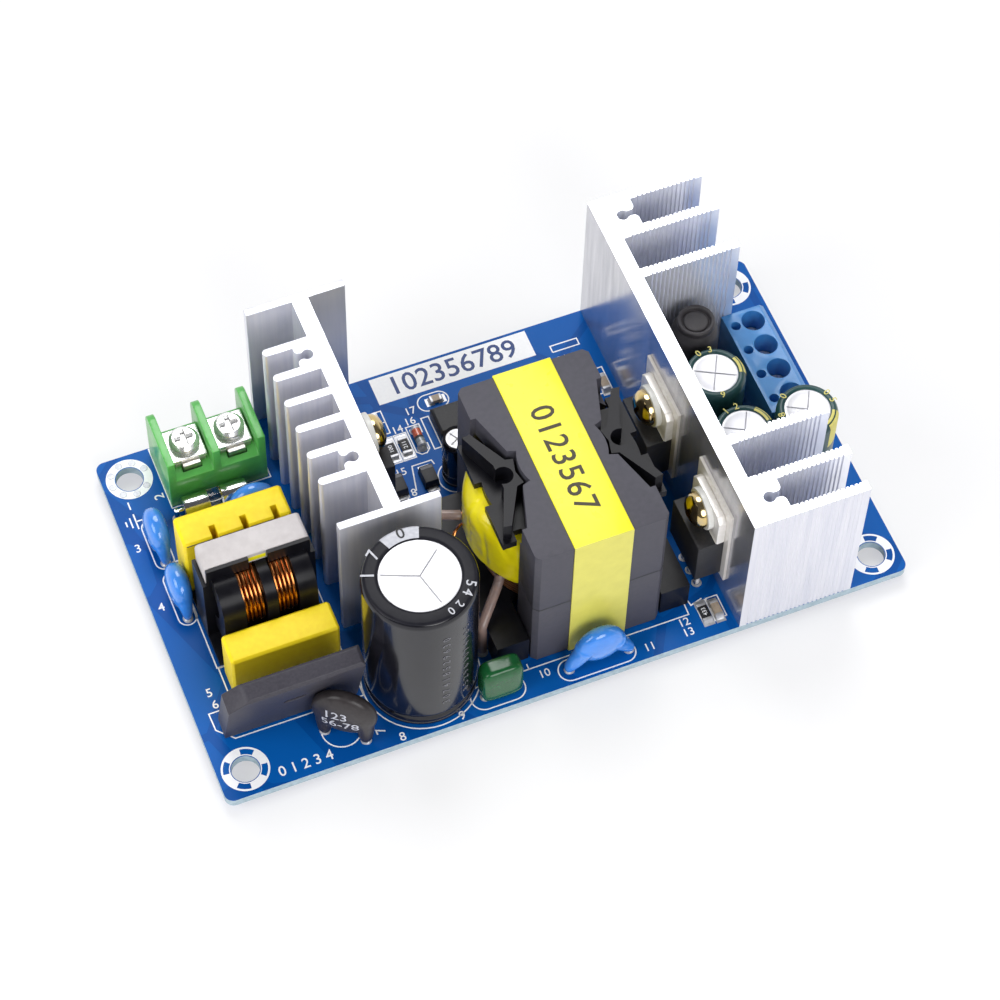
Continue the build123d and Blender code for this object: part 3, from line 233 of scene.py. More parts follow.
# finishes: a colour and a second one for the mottling, roughness, metal, coat, shine and glow;
# grain is the size of the mottling and bump its depth, both in millimetres
finishes = {
    # metals
    "solder": {"color": (0.62, 0.62, 0.64), "second": (0.44, 0.45, 0.48),
        "rough": 0.38, "metal": 0.45, "grain": 0.7, "bump": 0.01},
    "padTin": {"color": (0.56, 0.57, 0.62), "second": (0.46, 0.47, 0.52),
        "rough": 0.4, "metal": 0.3, "grain": 0.5, "bump": 0.02},
    "tinned": {"color": (0.62, 0.59, 0.54), "second": (0.48, 0.46, 0.43),
        "rough": 0.3, "metal": 1.0, "grain": 0.6, "bump": 0.01},
    "nickel": {"color": (0.74, 0.74, 0.73), "second": (0.60, 0.60, 0.60),
        "rough": 0.13, "metal": 1.0, "grain": 0.6, "bump": 0.006},
    "chrome": {"color": (0.84, 0.84, 0.83), "second": (0.66, 0.66, 0.66),
        "rough": 0.24, "metal": 0.75, "grain": 0.6, "bump": 0.02},
    # painted highlight: a near-white, hardly metallic silver, lighter than the screws' nickel, so that they
    # shine deep in the shaded bores
    "screwSilverHighlight": {"color": (0.96, 0.96, 0.97), "second": (0.80, 0.80, 0.82),
        "rough": 0.3, "metal": 0.1, "grain": 0.7, "bump": 0.02},
    "steelPins": {"color": (0.60, 0.61, 0.62), "second": (0.48, 0.49, 0.50),
        "rough": 0.3, "metal": 1.0, "grain": 0.5, "bump": 0.01},
    "yellowZinc": {"color": (0.75, 0.56, 0.22), "second": (0.62, 0.50, 0.30),
        "rough": 0.14, "metal": 1.0, "grain": 1.3, "bump": 0.006},
    "copperWire": {"color": (0.70, 0.27, 0.085), "second": (0.42, 0.14, 0.035),
        "rough": 0.22, "metal": 1.0, "grain": 1.2, "bump": 0.01},
    "tabMetal": {"color": (0.92, 0.89, 0.86), "second": (0.84, 0.81, 0.77),
        "rough": 0.3, "metal": 0.25, "grain": 0.8, "bump": 0.015},
    "aluminium": {"color": (0.77, 0.77, 0.83), "second": (0.68, 0.69, 0.77),
        "rough": 0.30, "metal": 0.6, "grain": 0.9, "bump": 0.012, "stretch": (1, 1, 0.05)},
    # painted light: a lighter copy of the aluminium for the right heatsink's fins, brighter than the left
    # heatsink's
    "litRibAluminium": {"color": (0.94, 0.95, 1.0), "second": (0.87, 0.89, 0.98),
        "rough": 0.24, "metal": 0.62, "grain": 4.0, "bump": 0.006, "stretch": (1, 1, 0.05)},
    # painted reflection: a darker, glossier copy of the aluminium for the right heatsink's face behind the
    # packages, standing for the dark reflection it shows
    "sinkFacePaintedReflection": {"color": (0.66, 0.66, 0.70), "second": (0.48, 0.48, 0.53),
        "rough": 0.2, "metal": 0.85, "grain": 1.6, "bump": 0.03, "stretch": (1, 1, 0.08)},
    "canTop": {"color": (0.70, 0.70, 0.72), "second": (0.62, 0.62, 0.65),
        "rough": 0.42, "metal": 0.5, "grain": 2.4, "bump": 0.008},
    # painted shade: the vent's pressed lines in a darker grey than the top they are pressed into
    "shadedVentLine": {"color": (0.50, 0.50, 0.53), "second": (0.44, 0.44, 0.47),
        "rough": 0.45, "metal": 0.5, "grain": 0.5, "bump": 0.005},
    # plastics and sleeves
    "greenPlastic": {"color": (0.095, 0.44, 0.085), "second": (0.08, 0.38, 0.07),
        "rough": 0.33, "coat": 0.25, "grain": 1.4, "bump": 0.012, "glow": 0.18},
    "bluePlastic": {"color": (0.055, 0.26, 0.62), "second": (0.045, 0.235, 0.57),
        "rough": 0.38, "coat": 0.2, "grain": 1.4, "bump": 0.01, "glow": 0.12},
    "yellowBox": {"color": (0.98, 0.76, 0.018), "second": (0.94, 0.70, 0.016),
        "rough": 0.36, "shine": 0.2, "grain": 0.9, "bump": 0.02, "glow": 0.1},
    # painted shade: the dark grey inside the rear yellow capacitor's grooves, which are the same yellow
    # plastic
    "paintedGrooveShade": {"color": (0.085, 0.080, 0.075), "second": (0.06, 0.058, 0.055),
        "rough": 0.6, "grain": 0.6, "bump": 0.02},
    "blackPlastic": {"color": (0.005, 0.005, 0.007), "second": (0.009, 0.009, 0.012),
        "rough": 0.30, "shine": 0.16, "grain": 1.8, "bump": 0.02},
    "whiteNylon": {"color": (0.78, 0.78, 0.75), "second": (0.72, 0.72, 0.69),
        "rough": 0.35, "coat": 0.2, "grain": 0.8, "bump": 0.01},
    "blackSleeve": {"color": (0.006, 0.006, 0.009), "second": (0.010, 0.010, 0.014),
        "rough": 0.17, "coat": 0.25, "shine": 0.3, "grain": 3.0, "bump": 0.03},
    "rimSleeve": {"color": (0.010, 0.010, 0.014), "second": (0.016, 0.016, 0.021),
        "rough": 0.3, "shine": 0.1, "grain": 2.0, "bump": 0.02},
    "tealSleeve": {"color": (0.012, 0.052, 0.054), "second": (0.018, 0.066, 0.066),
        "rough": 0.3, "coat": 0.12, "shine": 0.35, "grain": 3.0, "bump": 0.02},
    "blackShrink": {"color": (0.030, 0.027, 0.030), "second": (0.042, 0.038, 0.041),
        "rough": 0.5, "grain": 1.2, "bump": 0.03},
    "sleevedWire": {"color": (0.23, 0.17, 0.16), "second": (0.30, 0.20, 0.17),
        "rough": 0.35, "coat": 0.3, "grain": 1.0, "bump": 0.02},
    # laminate, resin, ferrite, glass and ceramic
    "boardEdge": {"color": (0.40, 0.50, 0.56), "second": (0.30, 0.40, 0.46),
        "rough": 0.6, "grain": 0.8, "bump": 0.02},
    "blueCoating": {"color": (0.052, 0.255, 0.78), "second": (0.042, 0.225, 0.71),
        "rough": 0.16, "coat": 0.6, "grain": 2.2, "bump": 0.05, "glow": 0.1},
    "blackCoating": {"color": (0.024, 0.020, 0.021), "second": (0.034, 0.029, 0.030),
        "rough": 0.34, "shine": 0.35, "grain": 0.9, "bump": 0.03},
    "greenCoating": {"color": (0.006, 0.075, 0.020), "second": (0.009, 0.10, 0.028),
        "rough": 0.2, "coat": 0.2, "shine": 0.35, "grain": 1.6, "bump": 0.05},
    "blackEpoxy": {"color": (0.018, 0.018, 0.021), "second": (0.028, 0.028, 0.031),
        "rough": 0.44, "shine": 0.3, "grain": 0.4, "bump": 0.015},
    # the bridge's black, lighter and bluer than the other epoxy: partly its own colour, partly painted sheen
    # of its lit top
    "bridgeEpoxyAndSheen": {"color": (0.038, 0.036, 0.047), "second": (0.050, 0.047, 0.060),
        "rough": 0.44, "shine": 0.3, "grain": 0.4, "bump": 0.015},
    "greyFerrite": {"color": (0.56, 0.53, 0.53), "second": (0.49, 0.46, 0.46),
        "rough": 0.55, "grain": 1.6, "bump": 0.02},
    "darkFerrite": {"color": (0.058, 0.057, 0.072), "second": (0.072, 0.070, 0.087),
        "rough": 0.5, "shine": 0.3, "grain": 0.9, "bump": 0.02},
    "mica": {"color": (0.66, 0.62, 0.57), "second": (0.74, 0.71, 0.67),
        "rough": 0.22, "coat": 0.4, "grain": 2.0, "bump": 0.02},
    "tanCeramic": {"color": (0.44, 0.35, 0.27), "second": (0.36, 0.29, 0.22),
        "rough": 0.5, "grain": 0.4, "bump": 0.01},
    "redGlass": {"color": (0.60, 0.10, 0.02), "second": (0.48, 0.06, 0.015),
        "rough": 0.12, "coat": 0.7, "grain": 0.6, "bump": 0.01},
    "diodeGlass": {"color": (0.20, 0.24, 0.27), "second": (0.26, 0.30, 0.33),
        "rough": 0.1, "coat": 0.7, "grain": 0.6, "bump": 0.01},
    # tape and coils
    "yellowTape": {"color": (0.86, 0.79, 0.014), "second": (0.82, 0.74, 0.012),
        "rough": 0.28, "coat": 0.1, "shine": 0.3, "grain": 2.5, "bump": 0.03},
    # painted light: a paler, greyer copy of the tape's yellow for the tape's front end
    "paintedPaleTapeFront": {"color": (0.66, 0.62, 0.12), "second": (0.61, 0.57, 0.11),
        "rough": 0.3, "coat": 0.1, "shine": 0.3, "grain": 2.5, "bump": 0.03},
    "tapedCoil": {"color": (0.98, 0.86, 0.008), "second": (0.86, 0.72, 0.008),
        "rough": 0.2, "coat": 0.35, "shine": 0.4, "grain": 3.0, "bump": 0.04},
    # dark brown of the bare coil beneath the tape: partly the wire's own colour, partly painted shade under
    # the overhanging tape
    "brownCoilAndShade": {"color": (0.16, 0.060, 0.020), "second": (0.09, 0.034, 0.014),
        "rough": 0.3, "coat": 0.3, "grain": 1.2, "bump": 0.02},
    # print
    "silkWhite": {"color": (0.96, 0.97, 1.0), "second": (0.92, 0.93, 0.97),
        "rough": 0.55, "grain": 0.5, "bump": 0.006},
    "printBlack": {"color": (0.018, 0.018, 0.020), "second": (0.030, 0.030, 0.032),
        "rough": 0.6, "grain": 0.5, "bump": 0.004},
    "printGrey": {"color": (0.15, 0.15, 0.17), "second": (0.11, 0.11, 0.13),
        "rough": 0.5, "grain": 0.5, "bump": 0.004},
    "sleevePrint": {"color": (0.50, 0.51, 0.56), "second": (0.42, 0.43, 0.48),
        "rough": 0.4, "grain": 0.5, "bump": 0.004},
    "printYellow": {"color": (0.68, 0.62, 0.16), "second": (0.60, 0.54, 0.14),
        "rough": 0.5, "grain": 0.5, "bump": 0.004},
    "plateInk": {"color": (0.012, 0.040, 0.17), "second": (0.016, 0.055, 0.22),
        "rough": 0.5, "grain": 0.5, "bump": 0.004},
    "tapeInk": {"color": (0.030, 0.022, 0.006), "second": (0.045, 0.034, 0.008),
        "rough": 0.5, "grain": 0.5, "bump": 0.002},
}
# what every finish shares: the mottling's contrast, how it moves the roughness, and the coat
mottle = {"detail": 4.0, "from": 0.32, "to": 0.68, "smoother": 0.85, "rougher": 1.2, "bump": 0.5,
          "coatRough": 0.08, "glowDepth": 0.001}
finishMade = {}


def finish(name):
    # a material from its entry above, made once
    if name in finishMade:
        return finishMade[name]
    look = finishes[name]
    material = bpy.data.materials.new(name)
    material.use_nodes = True
    tree = material.node_tree
    shader = tree.nodes["Principled BSDF"]
    shader.inputs["Metallic"].default_value = look.get("metal", 0.0)
    shader.inputs["Coat Weight"].default_value = look.get("coat", 0.0)
    shader.inputs["Coat Roughness"].default_value = mottle["coatRough"]
    shader.inputs["Specular IOR Level"].default_value = look.get("shine", 0.5)
    where = tree.nodes.new("ShaderNodeTexCoord")
    scale = tree.nodes.new("ShaderNodeMapping")
    scale.inputs["Scale"].default_value = [s / (look["grain"] * mm) for s in look.get("stretch", (1, 1, 1))]
    tree.links.new(where.outputs["Object"], scale.inputs["Vector"])
    cloud = tree.nodes.new("ShaderNodeTexNoise")
    cloud.inputs["Scale"].default_value = 1.0
    cloud.inputs["Detail"].default_value = mottle["detail"]
    tree.links.new(scale.outputs["Vector"], cloud.inputs["Vector"])
    ramp = tree.nodes.new("ShaderNodeValToRGB")
    ends = ramp.color_ramp.elements
    for end, place, color in ((ends[0], "from", "color"), (ends[1], "to", "second")):
        end.position = mottle[place]
        end.color = (*look[color], 1)
    tree.links.new(cloud.outputs["Fac"], ramp.inputs["Fac"])
    tree.links.new(ramp.outputs["Color"], shader.inputs["Base Color"])
    rough = rangeNode(tree, cloud.outputs["Fac"], look["rough"] * mottle["smoother"],
                      look["rough"] * mottle["rougher"])
    tree.links.new(rough.outputs["Result"], shader.inputs["Roughness"])
    if "glow" in look:
        # light that passes through thin coloured plastic
        shader.inputs["Subsurface Weight"].default_value = look["glow"]
        shader.inputs["Subsurface Scale"].default_value = mottle["glowDepth"]
        shader.inputs["Subsurface Radius"].default_value = (1.0, 1.0, 1.0)
    bump = bumpNode(tree, cloud.outputs["Fac"], look["bump"] * mm, mottle["bump"])
    tree.links.new(bump, shader.inputs["Normal"])
    finishMade[name] = material
    return material


# blue solder mask: its colour over bare laminate and over the poured copper, which lies in
# patches with narrow gaps; the weave of the laminate varies the roughness; step in millimetres
maskLook = {"bare": (0.001, 0.075, 0.33), "copper": (0.002, 0.098, 0.40), "patches": 55.0, "gap": 0.035,
            "weave": 900.0, "weaveDetail": 3.0, "rough": (0.26, 0.36), "step": 0.02, "bump": 0.4,
            "coat": 0.02, "coatRough": 0.12, "shine": 0.07, "faceAbove": 0.5}


def boardMaterial():
    # the mask on the two faces, bare laminate on the cut edge
    material = finish("boardEdge").copy()
    material.name = "boardMask"
    tree = material.node_tree
    edge = tree.nodes["Principled BSDF"]
    mask = tree.nodes.new("ShaderNodeBsdfPrincipled")
    mask.inputs["Coat Weight"].default_value = maskLook["coat"]
    mask.inputs["Coat Roughness"].default_value = maskLook["coatRough"]
    mask.inputs["Specular IOR Level"].default_value = maskLook["shine"]
    where = tree.nodes.new("ShaderNodeTexCoord")
    weave = tree.nodes.new("ShaderNodeTexNoise")
    weave.inputs["Scale"].default_value = maskLook["weave"]
    weave.inputs["Detail"].default_value = maskLook["weaveDetail"]
    tree.links.new(where.outputs["Object"], weave.inputs["Vector"])
    pour = tree.nodes.new("ShaderNodeTexVoronoi")
    pour.feature = "DISTANCE_TO_EDGE"
    pour.inputs["Scale"].default_value = maskLook["patches"]
    tree.links.new(where.outputs["Object"], pour.inputs["Vector"])
    copper = mathNode(tree, "GREATER_THAN", pour.outputs["Distance"], maskLook["gap"])
    tone = tree.nodes.new("ShaderNodeMix")
    tone.data_type = "RGBA"
    tone.inputs["A"].default_value = (*maskLook["bare"], 1)
    tone.inputs["B"].default_value = (*maskLook["copper"], 1)
    tree.links.new(copper, tone.inputs["Factor"])
    tree.links.new(tone.outputs["Result"], mask.inputs["Base Color"])
    rough = rangeNode(tree, weave.outputs["Fac"], *maskLook["rough"])
    tree.links.new(rough.outputs["Result"], mask.inputs["Roughness"])
    bump = bumpNode(tree, copper, maskLook["step"] * mm, maskLook["bump"])
    tree.links.new(bump, mask.inputs["Normal"])
    facing = tree.nodes.new("ShaderNodeNewGeometry")
    split = tree.nodes.new("ShaderNodeSeparateXYZ")
    tree.links.new(facing.outputs["True Normal"], split.inputs[0])
    level = mathNode(tree, "ABSOLUTE", split.outputs["Z"])
    isFace = mathNode(tree, "GREATER_THAN", level, maskLook["faceAbove"])
    skin = mixNode(tree, isFace, edge.outputs[0], mask.outputs[0])
    tree.links.new(skin, tree.nodes["Material Output"].inputs["Surface"])
    return material


glassLook = {"first": (0.90, 0.95, 0.93), "second": (0.97, 0.98, 0.97), "ior": 1.48, "rough": 0.03,
             "scale": 400.0}


def glassMaterial():
    material = bpy.data.materials.new("clearGlass")
    material.use_nodes = True
    tree = material.node_tree
    shader = tree.nodes["Principled BSDF"]
    shader.inputs["Transmission Weight"].default_value = 1.0
    shader.inputs["IOR"].default_value = glassLook["ior"]
    shader.inputs["Roughness"].default_value = glassLook["rough"]
    tint = tree.nodes.new("ShaderNodeTexNoise")
    tint.inputs["Scale"].default_value = glassLook["scale"]
    ramp = tree.nodes.new("ShaderNodeValToRGB")
    ramp.color_ramp.elements[0].color = (*glassLook["first"], 1)
    ramp.color_ramp.elements[1].color = (*glassLook["second"], 1)
    tree.links.new(tint.outputs["Fac"], ramp.inputs["Fac"])
    tree.links.new(ramp.outputs["Color"], shader.inputs["Base Color"])
    return material


# the finish of every CAD node, which its softened or rebuilt copy takes over
nodeFinish = {
    "solder_joints": "solder", "heatsink_pins": "steelPins",
    "ac_terminal_housing": "greenPlastic", "ac_terminal_contacts": "tinned",
    "dc_terminal_housing": "bluePlastic", "dc_terminal_cages": "tinned",
    "fuse_caps": "nickel", "line_capacitor_rear": "yellowBox", "line_capacitor_front": "yellowBox",
    "thermistor": "blackCoating", "choke_core": "greyFerrite", "choke_bobbin": "blackPlastic",
    "choke_windings": "copperWire", "bridge_rectifier": "blackEpoxy",
    "bulk_capacitor": "blackSleeve", "film_capacitor": "greenCoating",
    "left_heatsink": "aluminium", "right_heatsink": "aluminium", "switch_transistor": "blackEpoxy",
    "output_rectifier_1": "blackEpoxy", "output_rectifier_2": "blackEpoxy",
    "insulating_pads": "mica", "shoulder_washers": "whiteNylon", "heatsink_screws": "yellowZinc",
    "transformer_core_lower": "darkFerrite", "transformer_core_upper": "darkFerrite",
    "transformer_bobbin": "blackPlastic", "transformer_winding": "yellowTape",
    "transformer_tape": "yellowTape", "transformer_pins": "tinned",
    "flying_leads": "sleevedWire", "start_capacitor": "blackSleeve",
    "controller_chip": "blackEpoxy", "output_inductor": "blackShrink", "ceramic_chips": "tanCeramic",
    "chip_resistors": "blackEpoxy", "glass_diode": "redGlass", "surface_diodes": "blackEpoxy",
}
for number in (1, 2, 3, 4):
    nodeFinish[f"disc_capacitor_{number}"] = "blueCoating"
    nodeFinish[f"dc_screw_{number}"] = "nickel"
for number in (1, 2):
    nodeFinish[f"ac_screw_{number}"] = "chrome"
    nodeFinish[f"ac_washer_{number}"] = "chrome"
for number in (1, 2, 3):
    nodeFinish[f"output_capacitor_{number}"] = "tealSleeve"


def paint(node, material):
    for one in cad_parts[node].material_slots:
        one.link = "OBJECT"
        one.material = material


for node, look in nodeFinish.items():
    paint(node, finish(look))
paint("circuit_board", boardMaterial())
paint("fuse_glass", glassMaterial())
print("finishes set")


def settled(name, bm, looks, body=board, replaced=(), sharp=32):
    # a piece from a mesh in millimetres above the board; edges above the angle sharp stay hard
    bm.transform(Matrix.Translation((0, 0, boardTop)) @ Matrix.Scale(mm, 4))
    mesh = bpy.data.meshes.new(name)
    bm.to_mesh(mesh)
    bm.free()
    for look in looks:
        mesh.materials.append(finish(look))
    mesh.shade_smooth()
    mesh.set_sharp_from_angle(angle=math.radians(sharp))
    piece = bpy.data.objects.new(name, mesh)
    bpy.context.scene.collection.objects.link(piece)
    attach(piece, body)
    if replaced:
        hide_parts(*replaced)


def meshOf(node):
    # a CAD node's mesh in millimetres above the board, its doubled points joined
    bm = bmesh.new()
    bm.from_mesh(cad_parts[node].data)
    bm.transform(Matrix.Scale(1 / mm, 4) @ Matrix.Translation((0, 0, -boardTop)))
    bmesh.ops.remove_doubles(bm, verts=bm.verts, dist=0.002)
    return bm


def boxMm(node):
    low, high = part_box(node)
    return ([v / mm for v in (low.x, low.y, low.z - boardTop)],
            [v / mm for v in (high.x, high.y, high.z - boardTop)])


def middleOf(node):
    low, high = boxMm(node)
    return [(a + b) / 2 for a, b in zip(low, high)]


def bevelled(bm, width, angle=28, segments=2):
    # rounds every edge that is sharper than the angle; width in the units of the mesh
    edges = [e for e in bm.edges if len(e.link_faces) == 2
             and e.calc_face_angle(0.0) > math.radians(angle)]
    bmesh.ops.bevel(bm, geom=edges, offset=width, offset_type="OFFSET", segments=segments,
                    profile=0.6, affect="EDGES", clamp_overlap=True)


def softened(node, looks, width, body=board, cuts=(), choose=None, segments=2):
    # a copy of a CAD node with its edges rounded; cuts split faces at planes (point, normal),
    # choose(centre) gives the number of the finish, all in millimetres above the board
    bm = meshOf(node)
    bmesh.ops.dissolve_limit(bm, angle_limit=math.radians(1.5), verts=bm.verts, edges=bm.edges,
                             delimit={"NORMAL"})
    for point, normal in cuts:
        bmesh.ops.bisect_plane(bm, geom=bm.verts[:] + bm.edges[:] + bm.faces[:], dist=0.001,
                               plane_co=point, plane_no=normal)
    bevelled(bm, width, segments=segments)
    if choose:
        for face in bm.faces:
            face.material_index = choose(face.calc_center_median())
    settled(node + "_look", bm, looks, body, (node,))


def prism(bm, outline, z0, z1):
    # a closed outline raised from one height to another
    low = [bm.verts.new((x, y, z0)) for x, y in outline]
    high = [bm.verts.new((x, y, z1)) for x, y in outline]
    bm.faces.new(low[::-1])
    bm.faces.new(high)
    for i in range(len(outline)):
        j = (i + 1) % len(outline)
        bm.faces.new((low[i], low[j], high[j], high[i]))


def lathe(bm, profile, centre, steps, turn=None, index=0):
    # turns (radius, height) pairs round the upright axis, or round another one through turn
    place = Matrix.Translation(centre) @ (turn or Matrix.Identity(4))
    rows = []
    for radius, height in profile:
        spots = [(0, 0)] if radius < 1e-6 else circleOf(0, 0, radius, steps)
        rows.append([bm.verts.new(place @ Vector((x, y, height))) for x, y in spots])
    faces = []
    for low, high in zip(rows, rows[1:]):
        for i in range(steps):
            j = (i + 1) % steps
            if len(low) == 1 and len(high) == 1:
                continue
            if len(low) == 1:
                faces.append(bm.faces.new((low[0], high[j], high[i])))
            elif len(high) == 1:
                faces.append(bm.faces.new((low[i], low[j], high[0])))
            else:
                faces.append(bm.faces.new((low[i], low[j], high[j], high[i])))
    for face in faces:
        face.material_index = index
    return faces


def rounded(points, radius, steps):
    # rounds the corners of a run of (radius, height) pairs
    path = [points[0]]
    for before, corner, after in zip(points, points[1:], points[2:]):
        corner = Vector(corner)
        back = Vector(before) - corner
        ahead = Vector(after) - corner
        reach = min(radius, back.length * 0.45, ahead.length * 0.45)
        start = corner + back.normalized() * reach
        end = corner + ahead.normalized() * reach
        for i in range(steps + 1):
            t = i / steps
            path.append(tuple(start.lerp(corner, t).lerp(corner.lerp(end, t), t)))
    path.append(points[-1])
    return path


def tube(bm, points, radius, sides, index=0, ends=True):
    # a round tube along points, its radius one number or one for each point
    line = [Vector(p) for p in points]
    sizes = radius if isinstance(radius, list) else [radius] * len(line)
    rows = []
    side = None
    for i, (here, size) in enumerate(zip(line, sizes)):
        ahead = (line[min(i + 1, len(line) - 1)] - line[max(i - 1, 0)]).normalized()
        if side is None:
            side = ahead.orthogonal().normalized()
        side = (side - ahead * side.dot(ahead)).normalized()
        across = ahead.cross(side)
        rows.append([bm.verts.new(here + side * x + across * y) for x, y in circleOf(0, 0, size, sides)])
    faces = []
    for low, high in zip(rows, rows[1:]):
        for k in range(sides):
            j = (k + 1) % sides
            faces.append(bm.faces.new((low[k], low[j], high[j], high[k])))
    if ends:
        faces.append(bm.faces.new(rows[0][::-1]))
        faces.append(bm.faces.new(rows[-1]))
    for face in faces:
        face.material_index = index


def smoothPath(points, steps):
    # a soft curve through points
    line = [Vector(p) for p in points]
    line = [line[0] * 2 - line[1]] + line + [line[-1] * 2 - line[-2]]
    path = []
    for a, b, c, d in zip(line, line[1:], line[2:], line[3:]):
        for i in range(steps):
            t = i / steps
            path.append(0.5 * (2 * b + (c - a) * t + (2 * a - 5 * b + 4 * c - d) * t * t
                               + (3 * b - a - 3 * c + d) * t ** 3))
    path.append(line[-2])
    return path


def circleOf(x, y, radius, steps=48, start=0.0, end=360.0):
    # points of a full circle, or of an arc with both its ends
    return [(x + radius * math.cos(math.radians(start + (end - start) * i / steps)),
             y + radius * math.sin(math.radians(start + (end - start) * i / steps)))
            for i in range(steps + (end - start < 360.0))]


def spaced(points, gap):
    # leaves out points that lie nearly on the one before
    kept = [points[0]]
    for point in points[1:]:
        if (Vector(point) - Vector(kept[-1])).length > gap:
            kept.append(point)
    return kept


# white print on the board: every measure in millimetres
boardMarks = {
    "lift": 0.02,
    "thick": 0.22,
    "closed": [
        [(-48.7, 20.6), (-31.8, 20.6), (-31.8, 32.8), (-48.7, 32.8)],
        [(-52.0, 3.5), (-32.7, 3.5), (-32.7, 10.9), (-52.0, 10.9)],
        [(-51.7, -10.0), (-32.0, -10.0), (-32.0, 3.3), (-51.7, 3.3)],
        [(-51.5, -17.0), (-32.3, -17.0), (-32.3, -10.1), (-51.5, -10.1)],
        [(-55.6, -17.3), (-55.5, -20.4), (-53.1, -22.8), (-31.9, -22.9), (-31.9, -17.3)],
        [(-12.75, 15.5), (-10.65, 15.5), (-10.65, 20.7), (-12.75, 20.7)],
        [(-10.35, 15.5), (-8.25, 15.5), (-8.25, 20.7), (-10.35, 20.7)],
        [(-13.9, 21.5), (-10.6, 21.5), (-10.6, 26.1), (-13.9, 26.1)],
        [(-4.9, 15.9), (-3.6, 15.9), (-3.6, 22.3), (-4.9, 22.3)],
        [(22.9, 16.1), (27.0, 16.1), (27.0, 21.1), (22.9, 21.1)],
        [(23.1, -30.6), (25.0, -30.6), (25.0, -26.4), (23.1, -26.4)],
        [(25.2, -30.3), (27.1, -30.3), (27.1, -26.3), (25.2, -26.3)],
        [(44.9, -5.0), (54.2, -5.0), (54.2, 16.9), (44.9, 16.9)],
    ],
    "open": [
        [(-7.2, -28.0), (21.5, -28.0), (21.6, -25.2)],
        [(-6.0, -27.0), (-6.0, -28.0)],
        [(-7.9, 18.6), (-7.9, 21.5), (-5.6, 21.5), (-5.6, 19.7)],
        [(-7.9, 18.6), (-7.9, 16.4), (-7.2, 15.7), (-6.3, 15.7), (-5.6, 16.4), (-5.6, 17.6)],
        [(-10.6, 9.4), (-9.6, 14.1), (-6.2, 14.1), (-6.0, 13.2)],
        [(-13.9, 23.8), (-10.6, 23.8)],
        [(-14.6, 13.6), (-13.2, 13.6), (-13.2, 13.0)],
        [(20.5, 26.7), (25.3, 26.7), (25.3, 28.0), (20.5, 28.0), (20.5, 26.7)],
        [(22.0, -24.0), (22.5, -26.6), (24.6, -26.0)],
    ],
    "capsules": [
        (-54.6, -51.5, 10.1, 19.9), (-54.5, -51.5, -1.0, 9.3), (-16.6, -7.6, -32.3, -28.0),
        (-1.9, 11.1, -32.4, -28.6), (-4.4, 0.9, 23.2, 26.4),
    ],
    "circles": [
        (-37.2, -27.2, 3.2), (-22.3, -22.8, 9.5), (-3.4, 9.7, 3.1), (37.5, 1.3, 5.4),
        (37.5, -10.3, 5.4), (48.4, -10.3, 5.4), (38.4, 11.2, 4.3),
    ],
    "plate": (-10.3, 17.7, 27.2, 32.5),
    "plateText": {"text": "102356789", "place": (3.7, 29.812), "size": 3.6, "lift": 0.012},
    "labels": [
        ("1", -55.1, 23.4, 1.5, 0), ("2", -49.9, 23.5, 1.6, 90), ("3", -56.3, 15.3, 1.5, 0),
        ("4", -56.3, 3.6, 1.5, 0), ("5", -54.3, -13.8, 1.5, 0), ("6", -54.1, -16.1, 1.5, 0),
        ("0 1 2 3 4", -44.4, -30.9, 1.75, 0), ("7", -31.6, -29.8, 1.5, 90),
        ("8", -28.8, -32.0, 1.5, 0), ("9", -18.8, -31.9, 1.5, 0), ("10", -4.0, -29.6, 1.4, 0),
        ("11", 13.4, -31.2, 1.4, 0), ("12", 20.2, -29.1, 1.4, 0), ("13", 20.2, -31.0, 1.4, 0),
        ("14", -9.3, 21.6, 1.4, 0), ("15", -11.7, 13.6, 1.4, 0), ("16", -6.8, 22.4, 1.4, 0),
        ("17", -6.0, 24.3, 1.4, 0), ("18", -11.6, 9.2, 1.4, 0), ("19", 23.6, 22.2, 1.4, 0),
        ("20", 21.6, 24.8, 1.4, 0),
    ],
    "earth": {"y": 20.3, "bars": [(-55.0, 1.5), (-55.8, 1.0), (-56.6, 0.5)], "stem": -53.6, "thick": 0.25},
}


def lettering(bm, text, size, place, index=0, spacing=1.0):
    # plain digits as a flat mesh, their middle and their way up given by the matrix place
    curve = bpy.data.curves.new("digits", "FONT")
    curve.body = text
    curve.size = size * 1.42  # so that size is the height of a digit
    curve.space_character = spacing
    curve.align_x = "CENTER"
    curve.align_y = "CENTER"
    curve.resolution_u = 3
    curve.offset = 0.012 * size
    holder = bpy.data.objects.new("digits", curve)
    flat = bpy.data.meshes.new_from_object(holder)
    flat.transform(place)
    start = len(bm.faces)
    bm.from_mesh(flat)
    bm.faces.ensure_lookup_table()
    for face in bm.faces[start:]:
        face.material_index = index
    bpy.data.objects.remove(holder)
    bpy.data.meshes.remove(flat)


def ribbon(bm, points, width, z, closed=False):
    # a flat line with mitred corners
    line = [Vector(p) for p in points]
    count = len(line)
    left, right = [], []
    for i, here in enumerate(line):
        before = line[i - 1] if closed or i > 0 else None
        after = line[(i + 1) % count] if closed or i < count - 1 else None
        sides = []
        for a, b in ((before, here), (here, after)):
            if a is not None and b is not None and (b - a).length > 1e-6:
                along = (b - a).normalized()
                sides.append(Vector((-along.y, along.x)))
        across = sum(sides, Vector((0, 0))).normalized()
        reach = width / 2 / max(0.4, across.dot(sides[0]))
        left.append(bm.verts.new((here.x + across.x * reach, here.y + across.y * reach, z)))
        right.append(bm.verts.new((here.x - across.x * reach, here.y - across.y * reach, z)))
    for i in range(count if closed else count - 1):
        j = (i + 1) % count
        bm.faces.new((right[i], right[j], left[j], left[i]))


